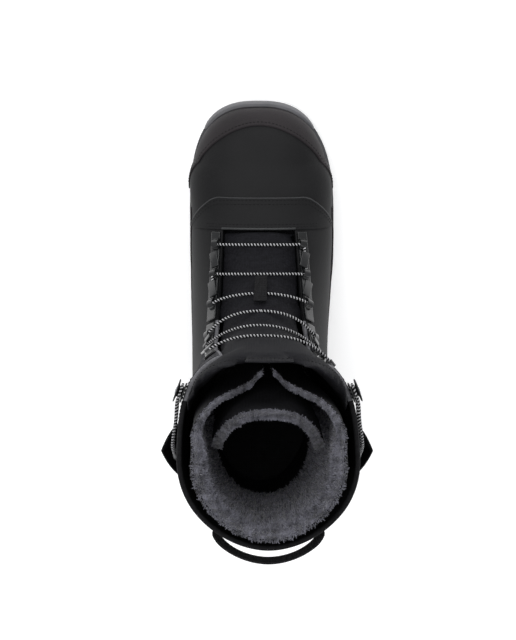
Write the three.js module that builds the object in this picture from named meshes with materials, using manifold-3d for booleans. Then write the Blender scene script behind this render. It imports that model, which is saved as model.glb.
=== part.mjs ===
// A right snowboard boot: rubber outsole, foam midsole, soft outer shell with an ankle
// that flexes, padded shell tongue, two lace zones with pull handles, and a fleece-lined
// inner boot. Millimetres. +Y points to the toe, +X to the outside of the foot, +Z up.
// The origin is on the ground, at the middle of the sole's length.
import * as THREE from "three";
import { mergeVertices } from "three/addons/utils/BufferGeometryUtils.js";
import Module from "manifold-3d";

const wasm = await Module();
wasm.setup();

// ---- Driving sizes ----
const soleLength = 306; // outsole, heel to toe
const ballHalf = 53.5; // half width of the shell at the ball of the foot
const cuffHalf = 63; // half width of the shell at the top of the cuff
const shaftHeight = 300; // ground to the top station of the form
const feather = (26 / 300) * shaftHeight; // height under the ball of the platform the shell is lasted to
const heelLift = (9 / 300) * shaftHeight; // extra platform height under the heel
const shellWall = 2.4;
const overlayWall = 1.4;
const linerWall = 7;
const tongueWall = 5;
const gap = 0.35; // clearance between touching pieces
const facetRoom = 0.8; // clearance where two curved walls made of flat faces are nested
const laceRadius = 1.25;
const laceRoom = 0.6; // free space round the lace in its guides
const treadDepth = 4;
const outsoleBase = 3;
const rimProud = 3; // how far the sole stands out from the shell
const flexForward = 10; // degrees that the ankle bends forwards
const flexBack = 3;

const mm = (f) => (f - 0.5) * soleLength; // a share of the sole's length as a Y position
const up = (f) => f * shaftHeight;
const lerp = THREE.MathUtils.lerp;
const clamp = THREE.MathUtils.clamp;
const rad = THREE.MathUtils.degToRad;
const between = (x, a, b) => THREE.MathUtils.smoothstep((x - a) / (b - a), 0, 1);

// ---- The form: a fan of cross-sections from the toe, round the heel, to the cuff ----
// front and back are where a section meets the boot's middle line above and below, as
// shares of the sole's length and of the shaft's height. half is its half width, drop
// the share of its depth where it is widest, powers its squareness above and below that,
// and side is how far its middle stands to the outside of the foot.
const station = (front, back, half, drop, powers, side) => ({ front, back, half, drop, powers, side });
const stations = [
  station([0.987, 0.213], [0.987, 0.053], 0, 0.62, [2.4, 2.8], -1),
  station([0.862, 0.236], [0.862, 0.053], 0.912 * ballHalf, 0.62, [2.4, 3], 0),
  station([0.712, 0.29], [0.7, 0.053], ballHalf, 0.64, [2.3, 3.4], 1.5),
  station([0.611, 0.364], [0.545, 0.055], 0.985 * ballHalf, 0.62, [2.2, 3.4], 1),
  station([0.54, 0.456], [0.37, 0.067], 0.96 * ballHalf, 0.58, [2.1, 3.2], 0),
  station([0.508, 0.53], [0.11, 0.062], 0.95 * ballHalf, 0.54, [2.1, 2.6], 0),
  station([0.5, 0.59], [0.016, 0.14], 0.93 * ballHalf, 0.5, [2.2, 2.2], 0.5),
  station([0.497, 0.66], [0.016, 0.37], lerp(ballHalf, cuffHalf, 0.05), 0.52, [2.5, 2.1], 2.5),
  station([0.496, 0.79], [0.04, 0.63], lerp(ballHalf, cuffHalf, 0.85), 0.54, [2.8, 1.95], 5),
  station([0.5, 1], [0.045, 0.965], cuffHalf, 0.54, [2.9, 1.85], 6),
];
const lastStation = stations.length - 1;
const toeTip = mm(stations[0].front[0]);
const toeBox = mm(stations[1].front[0]);
const ballLine = mm(0.705);
const toeHeight = up(0.128); // where the toe closes
const toePlan = 2.65; // squareness of the toe seen from above
const toeProfile = 2.2; // squareness of the toe seen from the side

// Catmull-Rom value of one station property at a fractional station number.
function stationValue(s, read) {
  const i = clamp(Math.floor(s), 0, lastStation - 1);
  const t = s - i;
  const [a, b, c, d] = [-1, 0, 1, 2].map((k) => read(stations[clamp(i + k, 0, lastStation)]));
  const [leave, arrive] = [(c - a) / 2, (d - b) / 2];
  const ease = t * t * (3 - 2 * t);
  return lerp(b, c, ease) + t * (1 - t) * ((1 - t) * leave - t * arrive);
}

// The superellipse that closes an end: 1 at its middle line, 0 at its tip.
const closing = (t, power) => Math.pow(1 - Math.pow(clamp(t, 0, 1), power), 1 / power);

// One cross-section at station s, grown by d all round: its points on the outside of the
// foot, from the front middle line to the back one, and the arc length up to each.
const sectionCache = new Map();
const sectionSteps = 96;
function section(s, d) {
  const key = s.toFixed(5) + "/" + d.toFixed(4);
  if (sectionCache.has(key)) return sectionCache.get(key);
  const read = (f) => stationValue(s, f);
  let front = [mm(read((k) => k.front[0])), up(read((k) => k.front[1]))];
  let back = [mm(read((k) => k.back[0])), up(read((k) => k.back[1]))];
  let half = read((k) => k.half) + d;
  const depth = Math.hypot(front[0] - back[0], front[1] - back[1]);
  const along = [(front[0] - back[0]) / depth, (front[1] - back[1]) / depth];
  front = [front[0] + along[0] * d, front[1] + along[1] * d];
  back = [back[0] - along[0] * d, back[1] - along[1] * d];
  if (s < 1) {
    const y = lerp(toeTip + d, toeBox, s * s);
    const close = closing(1 - s * s, toeProfile);
    half = (ballHalf + d) * closing((y - ballLine) / (toeTip + d - ballLine), toePlan);
    front = [y, lerp(toeHeight, front[1], close)];
    back = [y, lerp(toeHeight, back[1], close)];
  }
  const drop = read((k) => k.drop);
  const mid = [lerp(front[0], back[0], drop), lerp(front[1], back[1], drop)];
  const side = read((k) => k.side);
  const powers = [read((k) => k.powers[0]), read((k) => k.powers[1])];
  const point = (a) => {
    const above = Math.cos(a) >= 0;
    const power = powers[above ? 0 : 1];
    const end = above ? front : back;
    const run = Math.pow(Math.abs(Math.cos(a)), 2 / power);
    const wide = Math.pow(Math.sin(a), 2 / power);
    const [y, z] = [lerp(mid[0], end[0], run), lerp(mid[1], end[1], run)];
    return new THREE.Vector3(side + half * wide, y, z);
  };
  const outline = [];
  for (let i = 0; i < sectionSteps; i++) outline.push(point((Math.PI * i) / sectionSteps));
  outline.push(new THREE.Vector3(side, back[0], back[1]));
  const length = [0];
  for (let i = 1; i <= sectionSteps; i++)
    length.push(length[i - 1] + outline[i].distanceTo(outline[i - 1]));
  const made = { outline, length, side };
  sectionCache.set(key, made);
  return made;
}

// The form's surface. around runs from 0 at the front middle line to 1 at the back or
// underside on the outside of the foot (+X), and to -1 on the inside; d is the offset.
function form(s, around, d) {
  let turn = around;
  while (turn > 1) turn -= 2;
  while (turn < -1) turn += 2;
  const { outline, length, side } = section(s, d);
  const target = Math.abs(turn) * length[sectionSteps];
  let i = 1;
  while (i < sectionSteps && length[i] < target) i++;
  const span = length[i] - length[i - 1];
  const t = span > 1e-9 ? clamp((target - length[i - 1]) / span, 0, 1) : 0;
  const p = outline[i - 1].clone().lerp(outline[i], t);
  if (turn < 0) p.x = 2 * side - p.x;
  return p;
}

// The outward direction of the form there.
function outward(s, around, d) {
  const step = 0.02;
  const alongS = form(s + step, around, d).sub(form(s - step, around, d));
  const acrossV = form(s, around + step, d).sub(form(s, around - step, d));
  return acrossV.cross(alongS).negate().normalize();
}

// ---- Turning faces into solids ----
function geometryOf(points, faces) {
  const flat = new Float32Array(points.flatMap((p) => [p.x, p.y, p.z]));
  const raw = new THREE.BufferGeometry();
  raw.setAttribute("position", new THREE.BufferAttribute(flat, 3));
  raw.setIndex(faces.flat());
  return cleaned(raw);
}

function cleaned(raw) {
  const bare = new THREE.BufferGeometry();
  bare.setAttribute("position", raw.getAttribute("position"));
  if (raw.index) bare.setIndex(raw.index);
  const merged = mergeVertices(bare, 1e-3);
  const old = merged.index.array;
  const kept = [];
  for (let i = 0; i < old.length; i += 3) {
    const [a, b, c] = [old[i], old[i + 1], old[i + 2]];
    if (a !== b && b !== c && a !== c) kept.push(a, b, c);
  }
  merged.setIndex(kept);
  if (volumeOf(merged) < 0) {
    for (let i = 0; i < kept.length; i += 3)
      [kept[i + 1], kept[i + 2]] = [kept[i + 2], kept[i + 1]];
    merged.setIndex(kept);
  }
  return merged;
}

function volumeOf(geometry) {
  const p = geometry.getAttribute("position");
  const index = geometry.index.array;
  const [a, b, c] = [new THREE.Vector3(), new THREE.Vector3(), new THREE.Vector3()];
  let total = 0;
  for (let i = 0; i < index.length; i += 3) {
    a.fromBufferAttribute(p, index[i]);
    b.fromBufferAttribute(p, index[i + 1]);
    c.fromBufferAttribute(p, index[i + 2]);
    total += a.dot(b.cross(c)) / 6;
  }
  return total;
}

function toSolid(geometry) {
  const g = cleaned(geometry);
  const mesh = new wasm.Mesh({
    numProp: 3,
    vertProperties: new Float32Array(g.getAttribute("position").array),
    triVerts: new Uint32Array(g.index.array),
  });
  return new wasm.Manifold(mesh);
}

function toGeometry(solid) {
  const mesh = solid.getMesh();
  const flat = new Float32Array(mesh.numVert * 3);
  for (let i = 0; i < mesh.numVert; i++) {
    const from = i * mesh.numProp;
    flat.set(mesh.vertProperties.subarray(from, from + 3), i * 3);
  }
  const g = new THREE.BufferGeometry();
  g.setAttribute("position", new THREE.BufferAttribute(flat, 3));
  g.setIndex(new THREE.BufferAttribute(new Uint32Array(mesh.triVerts), 1));
  return g;
}

// Only the largest body of a cut, so that a stray sliver is never kept.
function largest(solid) {
  return solid.decompose().sort((a, b) => b.volume() - a.volume())[0];
}

// A wall that follows the form: s and around are functions of (u, v), each 0 to 1,
// inner and outer are its two offsets and shift its move back, as functions of (s, around).
function wall({ s, around, inner, outer, shift = () => 0, stepsU, stepsV, ring = false }) {
  const points = [];
  const faces = [];
  const columns = stepsV + 1;
  const id = (layer, i, j) => (layer * (stepsU + 1) + i) * columns + j;
  for (const offset of [outer, inner]) {
    for (let i = 0; i <= stepsU; i++) {
      for (let j = 0; j <= stepsV; j++) {
        const [u, v] = [i / stepsU, j / stepsV];
        const [sHere, aHere] = [s(u, v), around(u, v)];
        const point = form(sHere, aHere, offset(sHere, aHere));
        point.y -= shift(sHere, aHere);
        points.push(point);
      }
    }
  }
  const quad = (a, b, c, d) => faces.push([a, b, c], [a, c, d]);
  for (let i = 0; i < stepsU; i++) {
    for (let j = 0; j < stepsV; j++) {
      quad(id(0, i, j), id(0, i + 1, j), id(0, i + 1, j + 1), id(0, i, j + 1));
      quad(id(1, i, j), id(1, i, j + 1), id(1, i + 1, j + 1), id(1, i + 1, j));
    }
  }
  for (let j = 0; j < stepsV; j++) {
    quad(id(0, 0, j), id(0, 0, j + 1), id(1, 0, j + 1), id(1, 0, j));
    quad(id(0, stepsU, j), id(1, stepsU, j), id(1, stepsU, j + 1), id(0, stepsU, j + 1));
  }
  if (!ring) {
    for (let i = 0; i < stepsU; i++) {
      quad(id(0, i, 0), id(1, i, 0), id(1, i + 1, 0), id(0, i + 1, 0));
      quad(id(0, i, stepsV), id(0, i + 1, stepsV), id(1, i + 1, stepsV), id(1, i, stepsV));
    }
  }
  return geometryOf(points, faces);
}

// A closed skin through rings of points, with a fan over each end.
function skin(rings) {
  const count = rings[0].length;
  const points = rings.flat();
  const faces = [];
  for (let i = 0; i < rings.length - 1; i++) {
    for (let j = 0; j < count; j++) {
      const k = (j + 1) % count;
      const [a, b] = [i * count + j, i * count + k];
      faces.push([a, b, b + count], [a, b + count, a + count]);
    }
  }
  for (const [ring, turn] of [[0, false], [rings.length - 1, true]]) {
    const centre = new THREE.Vector3();
    rings[ring].forEach((p) => centre.addScaledVector(p, 1 / count));
    points.push(centre);
    for (let j = 0; j < count; j++) {
      const [a, b] = [ring * count + j, ring * count + ((j + 1) % count)];
      faces.push(turn ? [a, b, points.length - 1] : [b, a, points.length - 1]);
    }
  }
  return geometryOf(points, faces);
}

// A solid of the (y, z) outline given, across the whole boot.
const acrossReach = 150;
function profileAcross(outline, halfSpan = acrossReach) {
  const shape = new THREE.Shape(outline.map(([y, z]) => new THREE.Vector2(y, z)));
  const geometry = new THREE.ExtrudeGeometry(shape, { depth: 2 * halfSpan, bevelEnabled: false });
  // The shape's x, y and depth become the boot's Y, Z and X.
  const turned = new THREE.Matrix4().set(0, 0, 1, -halfSpan, 1, 0, 0, 0, 0, 1, 0, 0, 0, 0, 0, 1);
  geometry.applyMatrix4(turned);
  return toSolid(geometry);
}

function box(size, centre) {
  return new THREE.BoxGeometry(...size).translate(...centre);
}

// A round tube along a smooth curve through points.
function tube(points, radius, steps, sides = 8) {
  const circle = new THREE.Shape();
  for (let i = 0; i < sides; i++) {
    const a = (2 * Math.PI * i) / sides;
    const [x, y] = [radius * Math.cos(a), radius * Math.sin(a)];
    if (i) circle.lineTo(x, y);
    else circle.moveTo(x, y);
  }
  const path = new THREE.CatmullRomCurve3(points, false, "centripetal");
  return new THREE.ExtrudeGeometry(circle, { steps, bevelEnabled: false, extrudePath: path });
}

// A frame standing on the form: z out of the boot, y towards the top of the boot.
function standOn(s, around, d) {
  const at = form(s, around, d);
  const out = outward(s, around, d);
  const rise = form(s + 0.05, around, d).sub(form(s - 0.05, around, d));
  const across = rise.clone().cross(out).normalize();
  const along = out.clone().cross(across);
  return new THREE.Matrix4().makeBasis(across, along, out).setPosition(at);
}

// ---- Materials ----
const finish = (color, roughness, metalness = 0) =>
  new THREE.MeshStandardMaterial({ color, roughness, metalness });
const synthetic = finish(0x2b2b2c, 0.7);
const toeRubber = finish(0x38363a, 0.75);
const bumperRubber = finish(0x6e6e70, 0.7);
const heather = finish(0x4a4a4b, 0.9);
const tongueSkin = finish(0x26262a, 0.6);
const moulded = finish(0x2f3033, 0.35);
const linerFabric = finish(0x1f1f22, 0.85);
const fleece = finish(0x55555b, 1.0);
const foam = finish(0x4c4c4e, 0.8);
const rubber = finish(0x1d1d1e, 0.8);
const webbing = finish(0x121213, 0.85);
const cord = finish(0x8d8d8d, 0.8);
const steel = finish(0x9a9a9c, 0.35, 1);
const gel = finish(0x7f8790, 0.4);

const boot = new THREE.Group();
function add(name, solidOrGeometry, material) {
  const isSolid = typeof solidOrGeometry.getMesh === "function";
  const geometry = isSolid ? toGeometry(solidOrGeometry) : cleaned(solidOrGeometry);
  const mesh = new THREE.Mesh(geometry, material);
  mesh.name = name;
  boot.add(mesh);
  return mesh;
}

// ---- The sole ----
const toeSpring = 7; // how far the tread curls up at the toe
const heelBevel = 3;
const cupRise = 8; // how far the midsole climbs the shell above its platform
const baseTop = treadDepth + outsoleBase;
const heelHalf = 0.8 * ballHalf;
const heelLine = mm(0.16);

function ground(y) {
  const toe = clamp((y - mm(0.72)) / (mm(1) - mm(0.72)), 0, 1);
  const heel = clamp((mm(0.1) - y) / (mm(0.1) - mm(0)), 0, 1);
  return toeSpring * toe * toe + heelBevel * heel * heel;
}

// The height of the platform that the shell stands on.
const platform = (y) => feather + heelLift * between(y, mm(0.62), mm(0.25)) + 0.4 * ground(y);

// The sole's outline seen from above, grown all round, at a height for each Y.
function soleRing(grow, height) {
  const ball = ballHalf + rimProud + grow;
  const heel = heelHalf + rimProud + grow;
  const oneSide = [];
  const turns = 9;
  for (let i = 0; i < turns; i++) {
    const a = (Math.PI / 2) * (1 - i / turns);
    const reach = mm(1) + grow - ballLine;
    const y = ballLine + reach * Math.pow(Math.sin(a), 2 / toePlan);
    oneSide.push([ball * Math.pow(Math.abs(Math.cos(a)), 2 / toePlan), y]);
  }
  const straights = 5;
  for (let i = 0; i <= straights; i++) {
    const y = lerp(ballLine, heelLine, i / straights);
    oneSide.push([lerp(ball, heel, between(y, mm(0.62), mm(0.3))), y]);
  }
  const heelSquare = 2.3;
  for (let i = 1; i <= turns - 2; i++) {
    const a = ((Math.PI / 2) * i) / (turns - 2);
    const y = heelLine - (heelLine - mm(0) + grow) * Math.pow(Math.sin(a), 2 / heelSquare);
    oneSide.push([heel * Math.pow(Math.abs(Math.cos(a)), 2 / heelSquare), y]);
  }
  const sideways = (y) => 1.5 * between(y, mm(1), mm(0.7)) - between(y, mm(0.85), mm(1));
  const place = (sign) => ([x, y]) => new THREE.Vector3(sign * x + sideways(y), y, height(y));
  const outside = oneSide.map(place(1));
  const inside = oneSide.slice(1, -1).reverse().map(place(-1));
  return [...outside, ...inside];
}

const aboveGround = (z) => (y) => z + ground(y);
const abovePlatform = (z) => (y) => z + platform(y);

// The part of space between two Y positions, and between two heights for each Y.
const slab = (from, to) => profileAcross([[from, -50], [to, -50], [to, 400], [from, 400]]);
function layer(low, high) {
  const stops = Array.from({ length: 13 }, (_, i) => mm(-0.1 + 1.2 * (i / 12)));
  const lower = stops.map((y) => [y, low(y)]);
  const upper = stops.map((y) => [y, high(y)]).reverse();
  return profileAcross([...lower, ...upper]);
}

// A layer of the sole from low to high, whose sides pass through the rings [grow, height].
function soleLayer(low, high, rings) {
  const beyond = 60;
  const [first, last] = [rings[0], rings[rings.length - 1]];
  const all = [[first[0], (y) => low(y) - beyond], ...rings, [last[0], (y) => high(y) + beyond]];
  const block = toSolid(skin(all.map(([grow, height]) => soleRing(grow, height))));
  return block.intersect(layer(low, high));
}

// The form as a solid, grown by d. A fine one has its rings closer together at the toe.
function formSolid(d, fine) {
  const stops = [0.02];
  while (stops[stops.length - 1] < lastStation) {
    const s = stops[stops.length - 1];
    const step = fine ? (s < 2.2 ? 0.14 : 0.25) : (s < 2.2 ? 0.25 : 0.5);
    stops.push(Math.min(s + step, lastStation));
  }
  const sides = fine ? 40 : 24;
  const ring = (s) => Array.from({ length: sides }, (_, j) => form(s, (2 * j) / sides - 1, d));
  return toSolid(skin(stops.map(ring)));
}

const waistFront = mm(0.4); // where the two rubber soles end under the waist
const waistBack = mm(0.3);
const lugGroove = 5;
const lugLong = 19;

// A tread: a rubber plate with rows of lugs, cut to the sole's outline.
function tread(from, to, lugHalf) {
  const plateSides = [[-1.2, aboveGround(treadDepth)], [-0.4, aboveGround(baseTop)]];
  const plate = soleLayer(aboveGround(treadDepth), aboveGround(baseTop), plateSides);
  const lugEdge = -2.5; // lugs stop this far inside the outline
  const room = soleLayer(aboveGround(-1), aboveGround(baseTop - 1), [[lugEdge, aboveGround(0)]]);
  let lugs = null;
  const pitch = lugLong + lugGroove;
  for (let y = Math.ceil(from / pitch) * pitch; y < to; y += pitch) {
    for (const column of [-1, 0, 1]) {
      const wide = column === 0 ? 2 * lugHalf * 0.8 : 2 * lugHalf;
      const x = column * (2 * lugHalf * 0.9 + lugGroove);
      const low = ground(y);
      const tall = treadDepth + 1;
      const lug = toSolid(box([wide, lugLong, tall], [x, y, low + tall / 2]));
      lugs = lugs ? lugs.add(lug) : lug;
    }
  }
  return plate.intersect(slab(from, to)).add(lugs.intersect(room).intersect(slab(from, to)));
}

add("outsole_front", tread(waistFront, mm(1.02), 0.3 * ballHalf), rubber);
add("outsole_heel", tread(mm(-0.02), waistBack, 0.24 * ballHalf), rubber);

const shellRoom = formSolid(1.2 * facetRoom, true).intersect(layer(platform, abovePlatform(200)));
const midsoleSides = [
  [-1.6, aboveGround(baseTop + gap)],
  [0, aboveGround(baseTop + 6)],
  [-0.4, platform],
  [-2, abovePlatform(cupRise)],
];
const midsoleLow = aboveGround(baseTop + gap);
const midsole = soleLayer(midsoleLow, abovePlatform(cupRise), midsoleSides).subtract(shellRoom);
add("midsole", largest(midsole), foam);

const bumperWall = 1.6;
const bumperSides = (grow) => midsoleSides.map(([edge, height]) => [edge + grow, height]);
const bumperLow = aboveGround(baseTop + gap);
const bumperTop = abovePlatform(cupRise - 1);
const bumper = soleLayer(bumperLow, bumperTop, bumperSides(gap + bumperWall))
  .subtract(soleLayer(aboveGround(-9), abovePlatform(60), bumperSides(gap)))
  .intersect(slab(mm(0.9), mm(1.1)));
add("toe_bumper", largest(bumper), bumperRubber);

const shankThick = 1.6;
const boardThick = 2.5;
const inShell = formSolid(-shellWall - 6 * facetRoom, false);
const shankTop = abovePlatform(gap + shankThick);
const [shankFrom, shankTo, shankWide] = [mm(0.2), mm(0.66), 24];
const shankRoom = box([shankWide, shankTo - shankFrom, 100], [0, (shankTo + shankFrom) / 2, 30]);
const shank = layer(abovePlatform(gap), shankTop).intersect(toSolid(shankRoom));
add("shank", shank, steel);
const boardLow = gap + shankThick + gap;
const boardRoom = layer(abovePlatform(boardLow), abovePlatform(boardLow + boardThick));
add("lasting_board", inShell.intersect(boardRoom), foam);

// ---- Where the upper's pieces end on the form ----
const capSeam = 0.53; // station of the toe cap's seam on the middle line
const overlaySeam = 1.5; // front edge of the overlay that frames the throat
const throatStart = 2.04;
const footEnd = 4.6; // the foot pieces at the front are cut at the ankle below this station
const heelEnd = 7.5; // and those at the heel below this one
const shaftStart = 3.6; // and the shaft pieces above this one
const cuffFront = 8.0; // top corner of the cuff at the throat
const cuffBack = 8.8;

// Half the throat's width on each side, as a share of the way round the form.
const throatShare = { medial: [0.2, 0.155], lateral: [0.165, 0.235] }; // at its foot and its top
const throatAt = (sign, s) => {
  const [low, high] = sign < 0 ? throatShare.medial : throatShare.lateral;
  return sign * lerp(low, high, (s - throatStart) / (cuffFront - throatStart));
};
const cuffTop = (a) => lerp(cuffFront, cuffBack, between(Math.abs(a), 0.2, 0.72));

// How far round the form its surface at offset d comes down to a height over the platform.
const footingCache = new Map();
function footing(s, d, height) {
  const key = [s.toFixed(4), d.toFixed(3), height.toFixed(3)].join();
  if (footingCache.has(key)) return footingCache.get(key);
  const above = (a) => {
    const p = form(s, a, d);
    return p.z - platform(p.y) - height;
  };
  const steps = 40;
  let found = 1;
  for (let i = Math.round(0.3 * steps); i < steps && found === 1; i++) {
    const [high, low] = [above(i / steps), above((i + 1) / steps)];
    if (high > 0 && low <= 0) found = (i + high / (high - low)) / steps;
  }
  footingCache.set(key, found);
  return found;
}
const shellFoot = (s) => footing(Math.max(s, 0.06), 0, -1);
const overSole = layer(abovePlatform(gap), abovePlatform(2 * shaftHeight));
const overCup = layer(abovePlatform(cupRise + gap), abovePlatform(2 * shaftHeight));
const standing = (geometry, above = overSole) => largest(toSolid(geometry).intersect(above));

// A patch of wall on one side (sign) or across the front (sign 0) of the form, running
// from one edge of a to another; edges are functions of the station.
function patch({ from, to, start, end, inner, outer, ...others }) {
  const value = (x, ...given) => (typeof x === "function" ? x(...given) : x);
  return wall({
    s: (u, v) => lerp(value(from, v), value(to, v), u),
    around: (u, v) => {
      const s = lerp(value(from, v), value(to, v), u);
      return lerp(value(start, s), value(end, s), v);
    },
    inner: (s, a) => value(inner, s, a),
    outer: (s, a) => value(outer, s, a),
    ...others,
  });
}
const backSeam = 0.998; // the two halves meet at the back just short of the middle line
const shell = { inner: -shellWall, outer: 0 };
const overlay = { inner: 1.6 * facetRoom, outer: 1.6 * facetRoom + overlayWall };

// ---- The ankle: a wedge across the boot through the hinge, open by what it flexes ----
const ankle = [mm(0.27), up(0.36)]; // Y and Z of the flex axis
const creaseAngle = 15.5; // from the axis up to the crease at the front, in degrees
const heelAngle = 172; // and to the one at the back
const flexRoom = 1.2; // degrees to spare at each end

// A half space above or below the ankle's wedge, across the boot.
function ankleSide(sign) {
  const reach = 400;
  const ray = (degrees) => {
    const a = rad(degrees);
    return [ankle[0] + reach * Math.cos(a), ankle[1] + reach * Math.sin(a) + sign * gap];
  };
  const openFront = sign * ((flexForward + flexRoom) / 2);
  const openBack = -sign * ((flexBack + flexRoom) / 2);
  const apex = [ankle[0], ankle[1] + sign * gap];
  const far = [[reach, sign * reach], [-reach, sign * reach]];
  return profileAcross([ray(heelAngle + openBack), apex, ray(creaseAngle + openFront), ...far]);
}
const belowAnkle = ankleSide(-1);
const aboveAnkle = ankleSide(1);
const cutFoot = (geometry) => largest(toSolid(geometry).intersect(belowAnkle).intersect(overSole));
const cutShaft = (geometry) => largest(toSolid(geometry).intersect(aboveAnkle));

// ---- The shell's foot ----
const vamp = patch({
  from: 0, to: throatStart - 0.02, start: (s) => -shellFoot(s), end: shellFoot, ...shell,
  stepsU: 9, stepsV: 20,
});
add("vamp", standing(vamp), synthetic);

// The toe cap's seam runs back towards both sides of the foot.
const capBack = (v) => capSeam + 0.95 * Math.pow(Math.abs(2 * v - 1), 2.2);
const capFoot = (s) => footing(Math.max(s, 0.06), overlay.outer, cupRise - 1);
const toeCap = patch({
  from: 0, to: capBack, start: (s) => -capFoot(s), end: capFoot, ...overlay, stepsU: 6, stepsV: 22,
});
add("toe_cap", standing(toeCap, overCup), toeRubber);

// The overlay comes this far round, and always stops above the panels along the sole.
const randTall = 14; // how far those panels stand above the sole's cup
const randTop = (s) => footing(s, overlay.outer, cupRise + randTall);
const frameReach = (s) => Math.min(0.46, randTop(s) - 0.02);
const throatOverlay = patch({
  from: (v) => overlaySeam + 0.4 * Math.pow(Math.abs(2 * v - 1), 7), to: throatStart - 0.02,
  start: (s) => -frameReach(s), end: frameReach, ...overlay, stepsU: 2, stepsV: 12,
});
add("throat_overlay", throatOverlay, synthetic);

const quarterTuck = 0.08; // how far the quarters are drawn on under the sole's platform, which cuts them
for (const [side, sign] of [["medial", -1], ["lateral", 1]]) {
  const quarter = patch({
    from: throatStart, to: heelEnd, start: (s) => throatAt(sign, s),
    end: (s) => sign * Math.min(shellFoot(s) + quarterTuck, backSeam), ...shell,
    stepsU: 20, stepsV: 8,
  });
  add("quarter_" + side, cutFoot(quarter), synthetic);
}

// The heel counter wraps the back of the foot, from the sole's cup up to its own top edge.
const counterTop = up(0.3);
const heelCounter = patch({
  from: 4.6, to: 7.2, start: 0.5, end: 1.5, ...overlay, stepsU: 8, stepsV: 16,
});
const counterRoom = profileAcross([
  [mm(-0.1), 0], [mm(0.26), 0], [mm(0.2), up(0.2)], [mm(0.12), counterTop],
  [mm(-0.1), counterTop],
]);
add("heel_counter", largest(standing(heelCounter, overCup).intersect(counterRoom)), toeRubber);

// Panels along the sole on both sides of the foot, between the toe cap and the counter.
for (const [side, sign] of [["medial", -1], ["lateral", 1]]) {
  const rand = patch({
    from: 1.75, to: 4.3, start: (s) => sign * randTop(s),
    end: (s) => sign * footing(s, overlay.outer, cupRise - 1), ...overlay, stepsU: 7, stepsV: 3,
  });
  add("rand_" + side, standing(rand, overCup), toeRubber);
}

// ---- The tongue ----
// It lies behind the cuff's edges and swells up between them.
const tongueOut = (s, a) => {
  const edge = throatAt(Math.sign(a) || 1, s);
  const inside = 1 - between(Math.abs(a / edge), 0.45, 0.95);
  return lerp(-shellWall - 1.2 * facetRoom, 1.2, inside);
};
const tongueIn = -shellWall - facetRoom - tongueWall;
const tongueLower = patch({
  from: throatStart + 0.04, to: footEnd,
  start: (s) => 1.25 * throatAt(-1, s), end: (s) => 1.25 * throatAt(1, s),
  inner: tongueIn, outer: tongueOut, stepsU: 8, stepsV: 12,
});
add("tongue_lower", cutFoot(tongueLower), tongueSkin);

const tongueTop = 8.72;
const tongueShin = patch({
  from: shaftStart, to: (v) => tongueTop - 0.5 * Math.pow(Math.abs(2 * v - 1), 2.5),
  start: (s) => 0.9 * throatAt(-1, s), end: (s) => 0.9 * throatAt(1, s),
  inner: tongueIn, outer: tongueOut, stepsU: 10, stepsV: 10,
});
add("tongue_shin", cutShaft(tongueShin), tongueSkin);

// ---- The cuff ----
for (const [side, sign] of [["medial", -1], ["lateral", 1]]) {
  const cuff = patch({
    from: shaftStart, to: (v) => cuffTop(lerp(Math.abs(throatAt(sign, cuffFront)), 1, v)),
    start: (s) => throatAt(sign, s), end: sign * backSeam, ...shell, stepsU: 12, stepsV: 12,
  });
  add("cuff_" + side, cutShaft(cuff), heather);
}
const backstay = patch({
  from: 6.9, to: cuffBack - 0.05, start: 0.93, end: 1.07, ...overlay, stepsU: 8, stepsV: 4,
});
add("backstay", largest(toSolid(backstay).intersect(aboveAnkle)), synthetic);

// ---- The lacing ----
// Each row of lace has a station on the middle line and one at its two guides.
const laceRow = (middle, ends) => ({ middle, ends });
const lowerRows = [laceRow(2.36, 2.36), laceRow(3.07, 3.05), laceRow(3.6, 3.8)];
const upperRows = [laceRow(4.25, 4.75), laceRow(5.3, 5.3), laceRow(7.05, 7.15)];
const guideTall = 4.6;
const guideLong = (11 / 300) * shaftHeight; // so that the guides never meet on a low boot
const guideWide = 0.77 * guideLong;
const stripStart = 0.004; // the guide strips run beside the throat, from here
const stripEnd = 0.052; // to here
const guideMiddle = 0.022;
const laceLift = overlay.outer + gap + guideTall / 2; // lace axis over the form in a guide
const guideAt = (sign, s) => throatAt(sign, s) + sign * guideMiddle;

// The points of one row, from its medial guide to its lateral one.
function rowPoints({ middle, ends }) {
  const points = [];
  const steps = 8;
  for (let i = 0; i <= steps; i++) {
    const t = i / steps;
    const toEnd = Math.pow(Math.abs(2 * t - 1), 2);
    const s = lerp(middle, ends, toEnd);
    const a = lerp(guideAt(-1, s), guideAt(1, s), t);
    const onTongue = tongueOut(s, 0) + laceRadius + 1.4 * facetRoom;
    points.push(form(s, a, lerp(onTongue, laceLift, Math.pow(toEnd, 0.7))));
  }
  return points;
}

// A lace runs across a row, up the side through the next guide, and back.
function laceRoute(rows) {
  const points = [];
  rows.forEach((row, i) => points.push(...(i % 2 ? rowPoints(row).reverse() : rowPoints(row))));
  return points;
}
const laceZones = { lower: laceRoute(lowerRows), upper: laceRoute(upperRows) };
const laceSteps = 30;
for (const [zone, route] of Object.entries(laceZones))
  add("lace_" + zone, tube(route, laceRadius, laceSteps), cord);

const tunnels = {};
for (const [zone, route] of Object.entries(laceZones))
  tunnels[zone] = toSolid(tube(route, laceRadius + laceRoom, laceSteps));

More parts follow.
